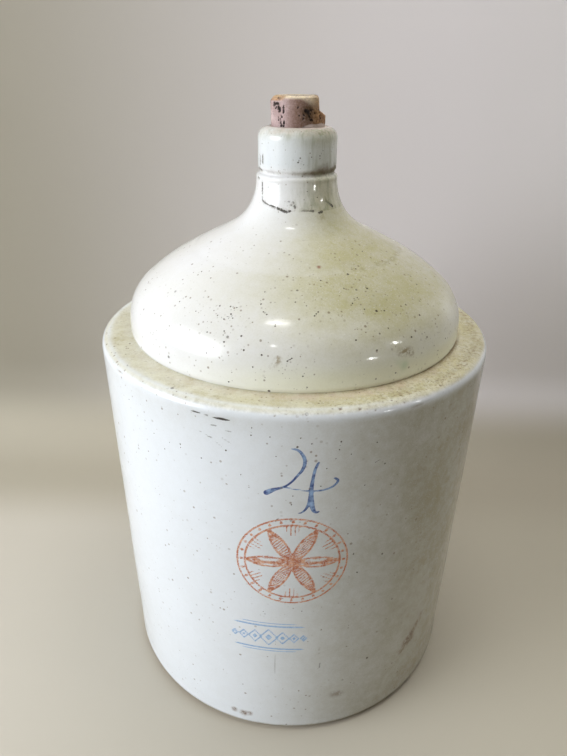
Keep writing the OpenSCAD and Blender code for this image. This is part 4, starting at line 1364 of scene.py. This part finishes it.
def add_lamp(name, toward, distance, size, power, colour=(1, 1, 1), twist=0, mirrored=True):
    """Area lamp at a distance towards (angle from the front, elevation), facing the middle of the jug.

    Its light dies away towards its edges, so that its reflection in the glaze has no hard edge.
    The twist turns it about its own axis, in degrees. Without mirrored the glaze doesn't reflect it.
    """
    lamp = bpy.data.lights.new(name, "AREA")
    lamp.shape = "RECTANGLE"
    lamp.size, lamp.size_y = size
    lamp.energy = power
    lamp.color = colour
    lamp.use_nodes = True
    board = Board(lamp.node_tree)
    spread = board.put("ShaderNodeNewGeometry", out="Parametric")
    sides = board.put("ShaderNodeSeparateXYZ", {0: spread}, out=(0, 1))
    wide, high = [board.ramp(board.math("ABSOLUTE", side - 0.5), 0.5, 0.05) for side in sides]
    emission = next(node for node in lamp.node_tree.nodes if node.type == "EMISSION")
    board.feed(emission.inputs["Strength"], wide * high)
    angle, rise = np.radians(toward)
    way = Vector((np.sin(angle) * np.cos(rise), -np.cos(angle) * np.cos(rise), np.sin(rise)))
    holder = bpy.data.objects.new(name, lamp)
    holder.location = LAMP_AIM + way * distance
    holder.rotation_mode = "QUATERNION"
    holder.rotation_quaternion = way.to_track_quat("Z", "Y") @ Quaternion((0, 0, 1), np.radians(twist))
    holder.visible_glossy = mirrored
    bpy.context.collection.objects.link(holder)


def light_jug():
    """Large soft window to the left, light from above, a doorway behind at the right, small glints,
    and a dim pale room."""
    add_lamp("window", (-66, 16), 1.9, (2, 1.55), 136, (0.93, 0.965, 1))
    add_lamp("skylight", (90, 79), 1.8, (2.2, 2.2), 68, (1, 0.99, 0.955), mirrored=False)
    add_lamp("doorway", (122, 11), 0.55, (0.22, 0.32), 0.15, (0.97, 0.98, 1))
    add_lamp("glint_over", (-28, 75.2), 1.5, (0.42, 0.07), 3.6, twist=20)
    add_lamp("glint_front", (-14, 43), 1.5, (0.07, 0.1), 1.3)
    add_lamp("glint_right", (69, 21.2), 1.6, (0.08, 0.14), 4.2)
    add_lamp("glint_low", (49, 6.4), 1.6, (0.06, 0.06), 3)
    world = bpy.data.worlds.new("room")
    world.use_nodes = True
    bpy.context.scene.world = world
    board = Board(world.node_tree)
    board.tree.nodes.clear()
    camera, through, glossy = board.put("ShaderNodeLightPath", out=("Is Camera Ray", "Is Transmission Ray",
                                                                    "Is Glossy Ray"))
    dim, mirrored, pale = [board.put("ShaderNodeBackground", {"Color": colour, "Strength": strength})
                           for colour, strength in ((ROOM_DIM, 0.02), (ROOM_GLOSSY, 0.3), (ROOM_PALE, 1))]
    unseen = board.put("ShaderNodeMixShader", {0: glossy, 1: dim, 2: mirrored})
    room = board.put("ShaderNodeMixShader", {0: board.most(camera, through), 1: unseen, 2: pale})
    board.put("ShaderNodeOutputWorld", {0: room}, out=())


def place_camera():
    """Camera of the photograph's view: its axes are a yaw and a pitch, and then a roll about the view."""
    pitch, yaw, roll = np.radians([CAMERA_PITCH, CAMERA_YAW, CAMERA_ROLL])
    forward = np.array([np.sin(yaw) * np.cos(pitch), np.cos(yaw) * np.cos(pitch), -np.sin(pitch)])
    right = np.cross(forward, [0, 0, 1])
    right /= np.linalg.norm(right)
    up = np.cross(right, forward)
    right, up = (np.cos(roll) * right + np.sin(roll) * up, -np.sin(roll) * right + np.cos(roll) * up)
    camera = bpy.data.cameras.new("camera")
    camera.sensor_width = 36
    camera.lens = 36 * FOCAL_PIXELS / PICTURE_HEIGHT
    camera.clip_start, camera.clip_end = 0.01, 20
    holder = bpy.data.objects.new("camera", camera)
    axes = Matrix([[*row] for row in np.column_stack([right, up, -forward])]).to_4x4()
    holder.matrix_world = Matrix.Translation(CAMERA_PLACE) @ axes
    bpy.context.collection.objects.link(holder)
    bpy.context.scene.camera = holder


# Making of the scene

place_camera()
effects = {"specks": make_specks(), "listed": make_listed_specks(), "colour": make_glaze_colour(),
           "skin": make_glaze_skin(), "ink": make_ink()}
attach(build_crock(), "jug", "crock_body", crock_glaze())
attach(build_dome(), "jug", "shoulder_dome", dome_glaze())
attach(build_neck(), "jug", "neck_collar", neck_glaze())
attach(build_handle(), "jug", "strap_handle", handle_glaze())
attach(build_cork(), "cork", "cork_stopper", cork_bark())
build_stage()
light_jug()
bpy.context.scene.view_settings.view_transform = "Standard"
